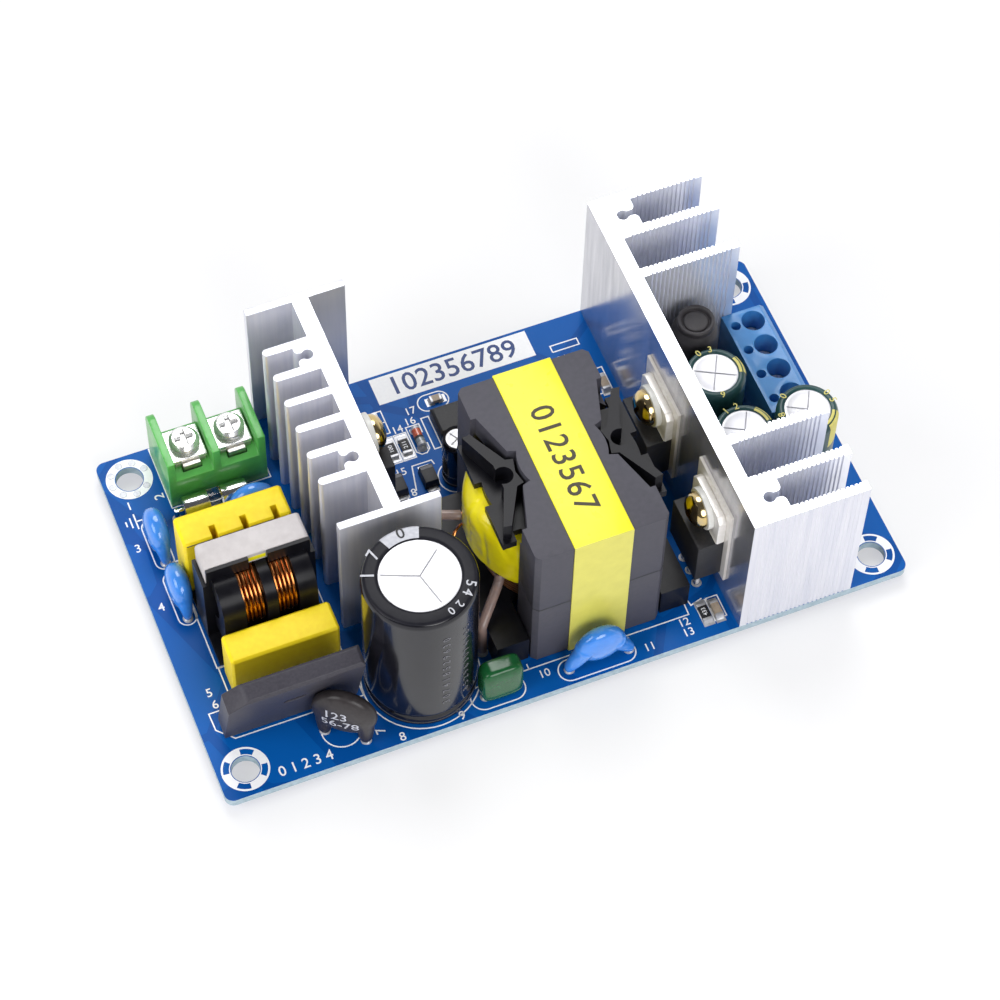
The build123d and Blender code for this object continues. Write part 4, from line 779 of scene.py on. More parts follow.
def capsuleOf(x0, x1, y0, y1):
    radius = min(x1 - x0, y1 - y0) / 2
    points = []
    for x, y, start in ((x1 - radius, y1 - radius, 0), (x0 + radius, y1 - radius, 90),
                        (x0 + radius, y0 + radius, 180), (x1 - radius, y0 + radius, 270)):
        points += circleOf(x, y, radius, 10, start, start + 90)
    return spaced(points, 0.01)


# the corner holes' printed rings with four windows each; the one beside the mains terminal has
# no windows but eight tinned pads instead; half and turn are angles of the windows in degrees
cornerRing = {"hole": (53.45, 28.4), "inner": 2.38, "window": (2.55, 3.5), "outer": 3.83, "turn": 67.5,
              "half": 19.5, "steps": 120, "pads": 8, "padAt": 3.1, "padTurn": 22.5,
              "pad": [(0.62, 0.0), (0.558, 0.05), (0.25, 0.07), (0, 0.06)]}


def ringAt(bm, x, y, windows, z):
    steps = cornerRing["steps"]
    radii = [cornerRing["inner"], *cornerRing["window"], cornerRing["outer"]]
    rows = [[bm.verts.new((px, py, z)) for px, py in circleOf(x, y, r, steps)] for r in radii]
    for level, (low, high) in enumerate(zip(rows, rows[1:])):
        for i in range(steps):
            j = (i + 1) % steps
            angle = (i + 0.5) * 360 / steps
            away = (angle - cornerRing["turn"] + 45) % 90 - 45
            if windows and level == 1 and abs(away) < cornerRing["half"]:
                continue
            bm.faces.new((low[i], high[i], high[j], low[j]))


def boardPrint():
    bm = bmesh.new()
    z = boardMarks["lift"]
    loops = boardMarks["closed"] + [capsuleOf(*capsule) for capsule in boardMarks["capsules"]]
    for points in loops + [circleOf(*circle) for circle in boardMarks["circles"]]:
        ribbon(bm, points, boardMarks["thick"], z, True)
    for points in boardMarks["open"]:
        ribbon(bm, points, boardMarks["thick"], z)
    hx, hy = cornerRing["hole"]
    for x in (-hx, hx):
        for y in (-hy, hy):
            ringAt(bm, x, y, not (x < 0 < y), z)
    x0, x1, y0, y1 = boardMarks["plate"]
    bm.faces.new([bm.verts.new((x, y, z)) for x, y in ((x0, y0), (x1, y0), (x1, y1), (x0, y1))])
    for text, x, y, size, turn in boardMarks["labels"]:
        lettering(bm, text, size, turned((x, y, z), turn))
    earth = boardMarks["earth"]
    for x, half in earth["bars"]:
        ribbon(bm, [(x, earth["y"] - half), (x, earth["y"] + half)], earth["thick"], z)
    ribbon(bm, [(earth["bars"][0][0], earth["y"]), (earth["stem"], earth["y"])], earth["thick"], z)
    plate = boardMarks["plateText"]
    lettering(bm, plate["text"], plate["size"], Matrix.Translation((*plate["place"], z + plate["lift"])), 1)
    settled("board_print", bm, ["silkWhite", "plateInk"])


def boardPads():
    # the bare tinned pads round the hole beside the mains terminal
    bm = bmesh.new()
    hx, hy = cornerRing["hole"]
    places = circleOf(-hx, hy, cornerRing["padAt"], cornerRing["pads"], cornerRing["padTurn"])
    for x, y in places[:cornerRing["pads"]]:
        lathe(bm, cornerRing["pad"], (x, y, boardMarks["lift"]), 20)
    settled("board_pads", bm, ["padTin"])


boardPrint()
boardPads()
print("board dressed")

# the right heatsink, an extrusion with finely ribbed fins: seen from above, x of its face, base,
# bosses and fin ends, y of its half length, and how far each fin's outer side lies from the end
ribs = {"pitch": 0.76, "depth": 0.28, "outer": 0.07, "share": 0.48, "end": 0.9}
rightSink = {"face": 28.1, "base": 30.8, "end": 47.6, "half": 33.0, "fin": 1.7,
             "steps": (0.0, 7.0, 15.15), "boss": 34.8, "mouth": 1.1, "hole": 1.0, "deep": 2.3,
             "round": 0.8, "height": 30.0}


def ribbedRun(x0, x1, y, inward, depth):
    # from x0 to x1 along y, with grooves cut towards inward
    way = 1 if x1 > x0 else -1
    length = abs(x1 - x0) - 2 * ribs["end"]
    count = int(length / ribs["pitch"])
    start = x0 + way * (ribs["end"] + (length - count * ribs["pitch"]) / 2)
    groove = ribs["pitch"] * ribs["share"]
    points = [(x0, y)]
    for i in range(count):
        at = start + way * (i + 0.5) * ribs["pitch"] - way * groove / 2
        deep = y + inward * depth
        points += [(at, y), (at + way * groove * 0.25, deep), (at + way * groove * 0.75, deep),
                   (at + way * groove, y)]
    return points + [(x1, y)]


def channelMouth(y):
    # the screw channel's outline from the boss's face in and back out, towards lower y
    size = rightSink
    half = size["mouth"] / 2
    lip = [(size["boss"] - size["round"] * (1 - math.cos(math.radians(a))),
            y + half + size["round"] * (1 - math.sin(math.radians(a)))) for a in (0, 22, 45, 67, 90)]
    reach = math.degrees(math.asin(half / size["hole"]))
    bore = circleOf(size["boss"] - size["deep"], y, size["hole"], 22, reach, 360 - reach)
    return lip + bore + [(px, 2 * y - py) for px, py in lip[::-1]]


def sinkOutline():
    size = rightSink
    upper = [(size["half"] - step, size["half"] - step - size["fin"]) for step in size["steps"]]
    fins = upper + [(-low, -high) for high, low in upper[::-1]]
    last = len(fins) - 1
    outline = []
    for number, (high, low) in enumerate(fins):
        # the outermost sides run on to the face, and a boss stands between each end fin and the next
        start = size["face"] if number == 0 else size["boss"] if number in (1, last) else size["base"]
        stop = size["face"] if number == last else size["boss"] if number in (0, last - 1) else size["base"]
        outline += ribbedRun(start, size["end"], high, -1, ribs["outer"] if number == 0 else ribs["depth"])
        outline += ribbedRun(size["end"], stop, low, 1, ribs["outer"] if number == last else ribs["depth"])
        if number in (0, last - 1):
            outline += channelMouth((low + fins[number + 1][0]) / 2)
    return spaced(outline, 0.004)


def rightHeatsink():
    bm = bmesh.new()
    prism(bm, sinkOutline()[::-1], 0.0, rightSink["height"])
    bm.normal_update()
    for face in bm.faces:
        middle = face.calc_center_median()
        # painted reflection: the face behind the packages takes the darker copy of the aluminium
        if face.normal.x < -0.9 and middle.x < rightSink["face"] + 0.1:
            face.material_index = 1
        # painted shade: the end faces towards the front take the plain aluminium, darker than the fins' lit
        # copy
        if face.normal.y < -0.5 and middle.y < 0.15 - rightSink["half"]:
            face.material_index = 2
    settled("right_heatsink_look", bm, ["litRibAluminium", "sinkFacePaintedReflection", "aluminium"],
            replaced=("right_heatsink",), sharp=25)


rightHeatsink()
softened("left_heatsink", ["aluminium"], 0.14)
print("heatsinks made")

# transistors on the heatsinks: moulded body between two heights, bare metal above and below it;
# face is the x of the heatsink's face and way the side that the package lies on
package = {"top": 14.8, "bottom": 5.6, "tab": 1.8, "edge": 0.12}


def boltedPackage(node, face, way):
    def isMetal(centre):
        return int(centre.z > package["top"] + 0.01 or centre.z < package["bottom"] - 0.01)

    cuts = [((0, 0, package["top"]), (0, 0, 1)), ((0, 0, package["bottom"]), (0, 0, 1)),
            ((face + way * package["tab"], 0, 0), (1, 0, 0))]
    softened(node, ["blackEpoxy", "tabMetal"], package["edge"], cuts=cuts, choose=isMetal)


boltedPackage("switch_transistor", -20.2, 1)
boltedPackage("output_rectifier_1", rightSink["face"], -1)
boltedPackage("output_rectifier_2", rightSink["face"], -1)
softened("shoulder_washers", ["whiteNylon"], 0.18, segments=3)
softened("insulating_pads", ["mica"], 0.05, segments=1)
print("packages made")

# both terminals
softened("ac_terminal_housing", ["greenPlastic"], 0.16)
softened("ac_terminal_contacts", ["tinned"], 0.08)
softened("dc_terminal_housing", ["bluePlastic"], 0.1)
softened("dc_terminal_cages", ["tinned"], 0.06)
for number in (1, 2):
    softened(f"ac_screw_{number}", ["chrome"], 0.14, body=f"ac_screw_{number}", segments=3)
    softened(f"ac_washer_{number}", ["chrome"], 0.12, body=f"ac_screw_{number}", segments=3)
print("terminals made")

# fuse: two nickel caps, glass and the fine wire that sags inside
fuseWire = {"radius": 0.09, "sag": 0.35, "steps": 12}


def fuseInside():
    bm = bmesh.new()
    low, high = boxMm("fuse_glass")
    y, z = middleOf("fuse_glass")[1:]
    points = []
    for i in range(fuseWire["steps"] + 1):
        t = i / fuseWire["steps"]
        points.append((low[0] + (high[0] - low[0]) * t, y, z - fuseWire["sag"] * math.sin(math.pi * t)))
    tube(bm, points, fuseWire["radius"], 8)
    settled("fuse_wire", bm, ["nickel"])


fuseInside()
softened("fuse_caps", ["nickel"], 0.16)
print("fuse made")

# the rear yellow capacitor's three grooves are painted dark grey as painted shade in the recesses; x of
# their middles, the rest are their limits
grooves = {"middles": (-48.9, -43.8, -38.7), "half": 0.56, "y": (4.3, 6.76), "z": (1.0, 14.0)}


def inGroove(centre):
    near = min(abs(centre.x - x) for x in grooves["middles"])
    y0, y1 = grooves["y"]
    z0, z1 = grooves["z"]
    return int(near < grooves["half"] and y0 < centre.y < y1 and z0 < centre.z < z1)


tapeFront = boxMm("transformer_tape")[0][1] + 0.1


def onTapeFront(centre):
    # painted light: the front end of the transformer's tape takes a paler, greyer yellow than the rest of it
    return int(centre.y < tapeFront)


softened("line_capacitor_rear", ["yellowBox", "paintedGrooveShade"], 0.18, choose=inGroove)
softened("line_capacitor_front", ["yellowBox"], 0.3, segments=3)
# the bridge's finish carries painted sheen as well as its black
softened("bridge_rectifier", ["bridgeEpoxyAndSheen"], 0.22, segments=3)
softened("controller_chip", ["blackEpoxy"], 0.12)
softened("transformer_core_lower", ["darkFerrite"], 0.2, segments=3)
softened("transformer_core_upper", ["darkFerrite"], 0.2, segments=3)
softened("transformer_tape", ["yellowTape", "paintedPaleTapeFront"], 0.16, segments=3, choose=onTapeFront)
print("boxes made")

# choke: two windings of five turns round a hub; x, y, z of the hub's middle, start is how far the
# first turn lies from it, radius that of the turns, wire that of the wire, core and hub those below
choke = {"middle": (-41.6, -2.9, 10.7), "turns": 5, "start": 0.95, "pitch": 0.68, "radius": 6.06,
         "wire": 0.34, "core": 5.8, "hub": 4.72, "steps": 96, "waver": 0.015, "lean": 0.1}


def chokeTurn(side, number):
    # one turn, slightly uneven as wound wire is
    x, y, z = choke["middle"]
    x += side * (choke["start"] + choke["pitch"] * (number + 0.5))
    loop = []
    for k in range(choke["steps"] + 1):
        angle = 2 * math.pi * k / choke["steps"]
        radius = choke["radius"] + choke["waver"] * math.sin(2 * angle + number * 1.7 + side)
        loop.append((x + side * choke["lean"] * math.sin(angle), y + radius * math.cos(angle),
                     z + radius * math.sin(angle)))
    return loop


def chokeWindings():
    bm = bmesh.new()
    for side in (-1, 1):
        for number in range(choke["turns"]):
            tube(bm, chokeTurn(side, number), choke["wire"], 10, ends=False)
        near, far = choke["start"], choke["start"] + choke["turns"] * choke["pitch"]
        low, high = (near, far) if side > 0 else (-far, -near)
        sleeve = [(choke["hub"], low), (choke["core"], low), (choke["core"], high), (choke["hub"], high),
                  (choke["hub"], low)]
        lathe(bm, sleeve, choke["middle"], 48, turned((0, 0, 0), 90, "Y"))
    settled("choke_windings_look", bm, ["copperWire"], replaced=("choke_windings",))


chokeWindings()
softened("choke_core", ["greyFerrite"], 0.18, segments=3)
print("choke made")

# round cans: sleeve with turned over rim, pressed vent in the metal top, plain digits; radius of
# the sleeve and of the bare top, vents as (angle, start, end) of their lines, band as (how far in
# from the sleeve, how far below the top) pairs; millimetres and degrees
canShape = {"sunk": 0.28, "ventHalf": 0.1, "ventRise": 0.05, "leadTop": 0.6, "bandLift": 0.02}
bulkShape = {"radius": 9.0, "height": 31.0, "top": 6.3, "crimp": 0.35, "pitch": 10.0, "lead": 0.8,
             "vents": [(40, 0, 5.2), (158, 0, 6.0), (284, 0, 5.6)],
             "band": [(0.0, 1.2), (0.28, 0.3), (0.6, 0.03)], "marksAt": 7.75}
outputShape = {"radius": 5.0, "height": 20.0, "top": 3.68, "crimp": 0.35, "pitch": 5.0, "lead": 0.8,
               "vents": [(62, -3.4, 3.4), (152, -3.4, 3.4)],
               "band": [(0.0, 6.0), (0.0, 0.9), (0.3, 0.25)], "marksAt": 4.36}
startShape = {"radius": 2.5, "height": 11.5, "top": 1.9, "crimp": 0.2, "pitch": 2.0, "lead": 0.5,
              "vents": [(30, -1.6, 1.6), (120, -1.6, 1.6)]}


def can(centre, shape, rimLook):
    # finish 0 is the sleeve, 1 the metal top and the leads, 2 the lines of the vent, darker as painted shade
    bm = bmesh.new()
    radius, height, top = shape["radius"], shape["height"], shape["top"]
    sunk = height - canShape["sunk"]
    sleeve = [(0, 0.2), (radius - 0.25, 0.2), (radius, 0.45), (radius, 1.9), (radius - shape["crimp"], 2.5),
              (radius, 3.1), (radius, height - 0.9), (radius - 0.45, height - 0.1), (top + 0.5, height),
              (top + 0.06, height - 0.12), (top, sunk)]
    for face in lathe(bm, rounded(sleeve, 0.55, 4), (*centre, 0), 96):
        if face.calc_center_median().z > height - 0.3:
            face.material_index = rimLook
    lid = [(top, sunk), (top - 0.25, sunk + 0.06), (top - 0.5, sunk), (top * 0.5, sunk - 0.02),
           (0, sunk - 0.03)]
    lathe(bm, lid, (*centre, 0), 96, index=1)
    for angle, start, end in shape["vents"]:
        shadedVentLine(bm, centre, angle, start, end, sunk + 0.05)
    for side in (-1, 1):
        lathe(bm, [(shape["lead"] / 2, 0.0), (shape["lead"] / 2, canShape["leadTop"])],
              (centre[0] + side * shape["pitch"] / 2, centre[1], 0), 12, index=1)
    return bm


def shadedVentLine(bm, centre, angle, start, end, z):
    # a pressed line of the vent, a shallow ridge of two slopes, in a darker grey as painted shade
    along = Vector((math.cos(math.radians(angle)), math.sin(math.radians(angle))))
    across = Vector((-along.y, along.x)) * canShape["ventHalf"]
    for low, high in ((-1, 0), (0, 1)):
        corners = []
        for reach, shift in ((start, low), (end, low), (end, high), (start, high)):
            spot = Vector(centre) + along * reach + across * shift
            corners.append(bm.verts.new((spot.x, spot.y, z if shift else z + canShape["ventRise"])))
        bm.faces.new(corners).material_index = 2


def printedBand(bm, centre, shape, start, end):
    # finish 3 over the sleeve's side and rim, between two angles
    rim = [(shape["top"] + 0.5, shape["height"]), (shape["top"] + 0.16, shape["height"] - 0.05)]
    lift = canShape["bandLift"]
    rows = []
    for radius, height in [(shape["radius"] - a, shape["height"] - b) for a, b in shape["band"]] + rim:
        arc = circleOf(*centre, radius + lift, 24, start, end)
        rows.append([bm.verts.new((x, y, height + lift)) for x, y in arc])
    for low, high in zip(rows, rows[1:]):
        for i in range(len(low) - 1):
            bm.faces.new((low[i], low[i + 1], high[i + 1], high[i])).material_index = 3


def rimDigit(bm, text, centre, shape, lift, angle, size, index=3):
    # a digit that lies on the rim of a can, its foot towards the middle
    place = turned((*centre, shape["height"] + lift), angle) @ turned((shape["marksAt"], 0, 0), -90)
    lettering(bm, text, size, place, index)


# the bulk can's marks: the band's two angles, its dark digit, pale digits as (angle, digit, size),
# and columns of small digits down the side
bulkMarks = {
    "band": (70, 114), "dark": (91, "0", 1.9), "lift": 0.05,
    "pale": [(133, "7", 2.0), (160, "1", 2.1), (286, "0", 1.3), (299, "2", 1.3), (316, "4", 1.6),
             (328, "5", 1.6)],
    "columns": (276, 300), "rows": 12, "first": 5.5, "pitch": 1.75, "size": 1.25, "columnLift": 0.03,
}


def bulkCan():
    centre = (-22.3, -22.8)
    bm = can(centre, bulkShape, 6)
    printedBand(bm, centre, bulkShape, *bulkMarks["band"])
    angle, text, size = bulkMarks["dark"]
    rimDigit(bm, text, centre, bulkShape, bulkMarks["lift"], angle, size, 4)
    for angle, text, size in bulkMarks["pale"]:
        rimDigit(bm, text, centre, bulkShape, bulkMarks["lift"], angle, size)
    upright = turned((0, 0, 0), 90) @ turned((0, 0, 0), 90, "X") @ turned((0, 0, 0), 90)
    out = Matrix.Translation((bulkShape["radius"] + bulkMarks["columnLift"], 0, 0))
    for column, angle in enumerate(bulkMarks["columns"]):
        for row in range(bulkMarks["rows"]):
            z = bulkShape["height"] - bulkMarks["first"] - row * bulkMarks["pitch"]
            place = turned((*centre, z), angle) @ out @ upright
            lettering(bm, str((row * 3 + column * 5) % 10), bulkMarks["size"], place, 5)
    looks = ["blackSleeve", "canTop", "shadedVentLine", "sleevePrint", "printBlack", "printGrey", "rimSleeve"]
    settled("bulk_capacitor_look", bm, looks, replaced=("bulk_capacitor",))


# the output cans' marks: where the band starts and digits as (angle, digit)
outputMarks = {
    1: {"band": -20, "digits": [(105, "0"), (78, "3"), (262, "6")]},
    2: {"band": 3, "digits": [(110, "1"), (85, "2")]},
    3: {"band": -67, "digits": [(128, "0"), (22, "0"), (0, "5"), (176, "8")]},
    "wide": 42, "size": 1.15, "lift": 0.06,
}


def outputCan(number):
    node = f"output_capacitor_{number}"
    centre = tuple(middleOf(node)[:2])
    bm = can(centre, outputShape, 0)
    start = outputMarks[number]["band"]
    printedBand(bm, centre, outputShape, start, start + outputMarks["wide"])
    for angle, text in outputMarks[number]["digits"]:
        rimDigit(bm, text, centre, outputShape, outputMarks["lift"], angle, outputMarks["size"])
    settled(node + "_look", bm, ["tealSleeve", "canTop", "shadedVentLine", "printYellow"], replaced=(node,))


def startCan():
    bm = can(tuple(middleOf("start_capacitor")[:2]), startShape, 3)
    settled("start_capacitor_look", bm, ["blackSleeve", "canTop", "shadedVentLine", "rimSleeve"],
            replaced=("start_capacitor",))


bulkCan()
for number in (1, 2, 3):
    outputCan(number)
startCan()
print("cans made")


def joined(bm, other):
    # moves the faces of another mesh into this one
    mesh = bpy.data.meshes.new("part")
    other.to_mesh(mesh)
    other.free()
    bm.from_mesh(mesh)
    bpy.data.meshes.remove(mesh)


def block(size, place=(0, 0, 0), turn=0.0, axis="Z"):
    # a sharp box of its own, its middle at the place
    one = bmesh.new()
    bmesh.ops.create_cube(one, size=1.0)
    one.transform(turned(place, turn, axis) @ Matrix.Diagonal((*size, 1)))
    return one


def softBox(bm, size, place, turn=0.0, width=0.0, index=0):
    # a box, its middle at the place, turned about the upright axis; width rounds its edges
    one = block(size)
    if width:
        bmesh.ops.bevel(one, geom=one.edges[:], offset=width, segments=2, profile=0.6,
                        affect="EDGES", clamp_overlap=True)
    one.transform(turned(place, turn))
    for face in one.faces:
        face.material_index = index
    joined(bm, one)


def evaluated(thing):
    # the mesh of an object as its modifiers leave it, in a bmesh of its own
    mesh = bpy.data.meshes.new_from_object(thing.evaluated_get(bpy.context.evaluated_depsgraph_get()))
    result = bmesh.new()
    result.from_mesh(mesh)
    bpy.data.meshes.remove(mesh)
    return result


def helper(name, bm):
    # an object that lives only until its modifiers have been used
    mesh = bpy.data.meshes.new(name)
    bm.to_mesh(mesh)
    bm.free()
    thing = bpy.data.objects.new(name, mesh)
    bpy.context.scene.collection.objects.link(thing)
    return thing


def dropped(thing):
    mesh = thing.data
    bpy.data.objects.remove(thing)
    bpy.data.meshes.remove(mesh)


def blended(bm, voxel, relax):
    # melts overlapping solids into one skin, as a dip coating does
    rough = helper("rough", bm)
    melt = rough.modifiers.new("melt", "REMESH")
    melt.mode = "VOXEL"
    melt.voxel_size = voxel
    ease = rough.modifiers.new("ease", "SMOOTH")
    ease.factor = 0.5
    ease.iterations = relax
    result = evaluated(rough)
    dropped(rough)
    return result


def carved(bm, cutter):
    # one mesh less another
    body = helper("body", bm)
    blade = helper("cutter", cutter)
    cut = body.modifiers.new("cut", "BOOLEAN")
    cut.operation = "DIFFERENCE"
    cut.object = blade
    result = evaluated(body)
    dropped(body)
    dropped(blade)
    return result


def bulge(x, y, z, power):
    # how far a point in this direction lies on a rounded block of half size 1
    return 1 / (abs(x) ** power + abs(y) ** power + abs(z) ** power) ** (1 / power)


# parts dipped in resin: a thick lens that runs down into two coated legs, height that of its
# middle, leg the radius of a bare leg; millimetres, degrees
smallDisc = {"turn": 90, "radius": 3.8, "thick": 3.7, "height": 4.3, "pitch": 7.5, "leg": 0.7}
dipped = {
    "disc_capacitor_1": smallDisc,
    "disc_capacitor_2": smallDisc,
    "disc_capacitor_3": {"turn": 0, "radius": 3.8, "thick": 3.4, "height": 5.6, "pitch": 7.5, "leg": 0.7},
    "disc_capacitor_4": {"turn": 0, "radius": 3.95, "thick": 3.4, "height": 5.4, "pitch": 10.1, "leg": 0.85},
    "thermistor": {"turn": -36, "radius": 5.25, "thick": 3.6, "height": 7.9, "pitch": 6.6, "leg": 0.85},
}
dippedShape = {"round": 2.5, "voxel": 0.2, "relax": 5, "printLift": 0.05, "footOut": 0.15,
               "foot": [(0.8, 0.0), (0.76, 0.16), (0.6, 0.34), (0.4, 0.42), (0, 0.42)]}
thermistorMarks = [("123", -1.0, 8.9, 1.9), ("56-78", -0.3, 6.5, 1.9)]  # text, across, up, size


def dippedLeg(shape, side):
    # the path of a leg from the board up into the lens, and its radius at every point
    foot = side * shape["pitch"] / 2
    spread = side * min(shape["pitch"], 1.6 * shape["radius"]) / 2
    height = shape["height"]
    line = smoothPath([(foot, 0, 0.1), (foot, 0, 1.0), (foot * 0.6 + spread * 0.4, 0, 2.2),
                       (spread, 0, height * 0.72), (spread * 0.8, 0, height)], 6)
    return line, [shape["leg"] * (0.75 + 1.3 * (i / (len(line) - 1)) ** 0.9) for i in range(len(line))]


def dippedPart(node, looks, marks=()):
    shape = dipped[node]
    half = shape["thick"] / 2
    power = dippedShape["round"]
    bm = bmesh.new()
    bmesh.ops.create_uvsphere(bm, u_segments=40, v_segments=28, radius=1.0)
    for vert in bm.verts:
        x, y, z = vert.co
        grow = bulge(math.hypot(x, z), y, 0, power)
        vert.co = (x * grow * shape["radius"], y * grow * half, shape["height"] + z * grow * shape["radius"])
    for side in (-1, 1):
        line, wide = dippedLeg(shape, side)
        tube(bm, line, wide, 14)
    bm = blended(bm, dippedShape["voxel"], dippedShape["relax"])
    for side in (-1, 1):
        foot = side * (shape["pitch"] / 2 + dippedShape["footOut"])
        lathe(bm, dippedShape["foot"], (foot, 0, 0), 20, index=1)
    for text, across, up, size in marks:
        # upright digits, laid on the curve of the lens
        start = len(bm.verts)
        lettering(bm, text, size, turned((across, 0, up), 90, "X"), 2)
        bm.verts.ensure_lookup_table()
        for vert in bm.verts[start:]:
            far = min(math.hypot(vert.co.x, vert.co.z - shape["height"]) / shape["radius"], 0.95)
            vert.co.y = -half * (1 - far ** power) ** (1 / power) - dippedShape["printLift"]
    x, y, _ = middleOf(node)
    bm.transform(turned((x, y, 0), shape["turn"]))
    settled(node + "_look", bm, looks, replaced=(node,), sharp=50)


for number in (1, 2, 3, 4):
    dippedPart(f"disc_capacitor_{number}", ["blueCoating", "solder"])
dippedPart("thermistor", ["blackCoating", "solder", "sleevePrint"], thermistorMarks)
print("dipped parts made")

# film capacitor: a pillow of clear green resin
pillow = {"half": (3.45, 1.8, 4.25), "middle": 4.75, "power": 5.0, "pitch": 5.0,
          "legHeights": (0.1, 0.8, 1.6), "legRadii": [0.4, 0.55, 0.9],
          "foot": [(0.7, 0.0), (0.55, 0.2), (0.35, 0.3), (0, 0.3)]}


def filmCapacitor():
    bm = bmesh.new()
    bmesh.ops.create_uvsphere(bm, u_segments=56, v_segments=40, radius=1.0)
    for vert in bm.verts:
        grow = bulge(*vert.co, pillow["power"])
        x, y, z = (c * grow * half for c, half in zip(vert.co, pillow["half"]))
        vert.co = (x, y, pillow["middle"] + z)
    for x in (-pillow["pitch"] / 2, pillow["pitch"] / 2):
        tube(bm, [(x, 0, z) for z in pillow["legHeights"]], pillow["legRadii"], 14)
        lathe(bm, pillow["foot"], (x, 0, 0), 20, index=1)
    x, y, _ = middleOf("film_capacitor")
    bm.transform(Matrix.Translation((x, y, 0)))
    settled("film_capacitor_look", bm, ["greenCoating", "solder"], replaced=("film_capacitor",), sharp=60)


filmCapacitor()
print("film capacitor made")

# transformer winding: creased tape above the step, bare coil beneath, its dark brown partly the wire's own
# colour and partly painted shade under the tape; wide is its half size in x and y, under the radius of the
# bare coil, crease the depth and valley how narrow the creases are, lean how they wind upwards; folds, fine
# and waves are (around, up, shift, shift) of three noises
coil = {"x": 4.9, "y": -10.4, "wide": (14.45, 13.15), "step": 12.6, "top": 25.0, "topRound": 4.0,
        "footRound": 1.2, "under": 11.9, "inner": 6.0, "turns": 9, "steps": 260, "crease": 0.26,
        "valley": 0.13, "lean": 0.018, "folds": (3.6, 0.09, 0, 0), "fine": (5, 1.3, 0, 9),
        "waves": (2.6, 0.12, 4, 0)}


def coilSkin():
    # (how far in from the full outline, height, share of the crease) from the outer foot to the top
    rows = [(2.7, coil["step"], 0.0)]
    for i in range(7):
        a = math.radians(90 * i / 6)
        rows.append((coil["footRound"] * (1 - math.sin(a)),
                     coil["step"] + coil["footRound"] * (1 - math.cos(a)), 0.4))
    low, high = coil["step"] + coil["footRound"], coil["top"] - coil["topRound"]
    rows += [(0.0, low + (high - low) * i / 16, 1.0) for i in range(1, 16)]
    for i in range(13):
        a = math.radians(90 * i / 12)
        rows.append((coil["topRound"] * (1 - math.cos(a)), high + coil["topRound"] * math.sin(a), 1.0))
    return rows + [(7.0, coil["top"], 0.0)]


def ringNoise(angle, height, around, up, across, ahead):
    # noise that closes on itself round the coil
    return noise.noise(Vector((math.cos(angle) * around + across, math.sin(angle) * around + ahead,
                               height * up)))


def creaseAt(angle, height):
    # sharp valleys where the tape is pulled in, soft swell elsewhere
    fold = ringNoise(angle + height * coil["lean"], height, *coil["folds"])
    valley = max(0.0, 1 - abs(fold) / coil["valley"])
    fine = ringNoise(angle, height, *coil["fine"])
    wave = ringNoise(angle, height, *coil["waves"])
    return coil["crease"] * (1.4 * wave - valley + 0.25 * fine)


def bareCoil():
    # (radius, height) pairs of the brown turns beneath the tape
    foot = boxMm("transformer_winding")[0][2]
    pitch = (coil["step"] - foot) / coil["turns"]
    profile = []
    for i in range(coil["turns"]):
        for k in range(7):
            a = math.radians(180 * k / 6)
            profile.append((coil["under"] - 0.45 + 0.4 * math.sin(a),
                            foot + pitch * (i + 0.5 - 0.5 * math.cos(a))))
    return profile + [(coil["inner"], coil["step"])]


def transformerWinding():
    bm = bmesh.new()
    rings = []
    for inward, height, share in coilSkin():
        ring = []
        for i in range(coil["steps"]):
            a = 2 * math.pi * i / coil["steps"]
            out = share * creaseAt(a, height) - inward
            ring.append(bm.verts.new((coil["x"] + (coil["wide"][0] + out) * math.cos(a),
                                      coil["y"] + (coil["wide"][1] + out) * math.sin(a), height)))
        rings.append(ring)
    for low, high in zip(rings, rings[1:]):
        for i in range(coil["steps"]):
            j = (i + 1) % coil["steps"]
            bm.faces.new((low[i], low[j], high[j], high[i]))
    # the bare coil takes finish 1, its dark brown partly painted shade under the tape
    lathe(bm, bareCoil(), (coil["x"], coil["y"], 0), 120, index=1)
    settled("transformer_winding_look", bm, ["tapedCoil", "brownCoilAndShade"], replaced=("transformer_winding",),
            sharp=60)


transformerWinding()

# strands of copper at the hub and at the left of the winding, each lying beside the one before
strands = [
    {"count": 3, "gap": 0.42, "points": [(-3.6, -8.9, 25.15), (-4.5, -9.7, 25.5), (-4.5, -11.0, 25.5),
                                         (-4.3, -12.3, 25.2)]},
    {"count": 2, "gap": 0.45, "points": [(-9.0, -6.9, 13.6), (-9.9, -7.4, 14.2), (-11.1, -8.3, 13.9),
                                         (-11.9, -9.3, 12.2)]},
]
strandShape = {"radius": 0.2, "beside": (0.35, -0.2, 0.55)}
tapeText = {"text": "0123567", "x": 5.5, "y": -11.5, "size": 3.75, "spacing": 1.1, "lift": 0.03, "turn": -90}


def transformerMarks():
    bm = bmesh.new()
    for strand in strands:
        for i in range(strand["count"]):
            shift = Vector(strandShape["beside"]) * strand["gap"] * i
            path = smoothPath([Vector(p) + shift for p in strand["points"]], 6)
            tube(bm, path, strandShape["radius"], 8)
    settled("transformer_strands", bm, ["copperWire"])
    bm = bmesh.new()
    z = boxMm("transformer_tape")[1][2] + tapeText["lift"]
    place = turned((tapeText["x"], tapeText["y"], z), tapeText["turn"])
    lettering(bm, tapeText["text"], tapeText["size"], place, spacing=tapeText["spacing"])
    settled("tape_digits", bm, ["tapeInk"])


transformerMarks()
print("transformer dressed")

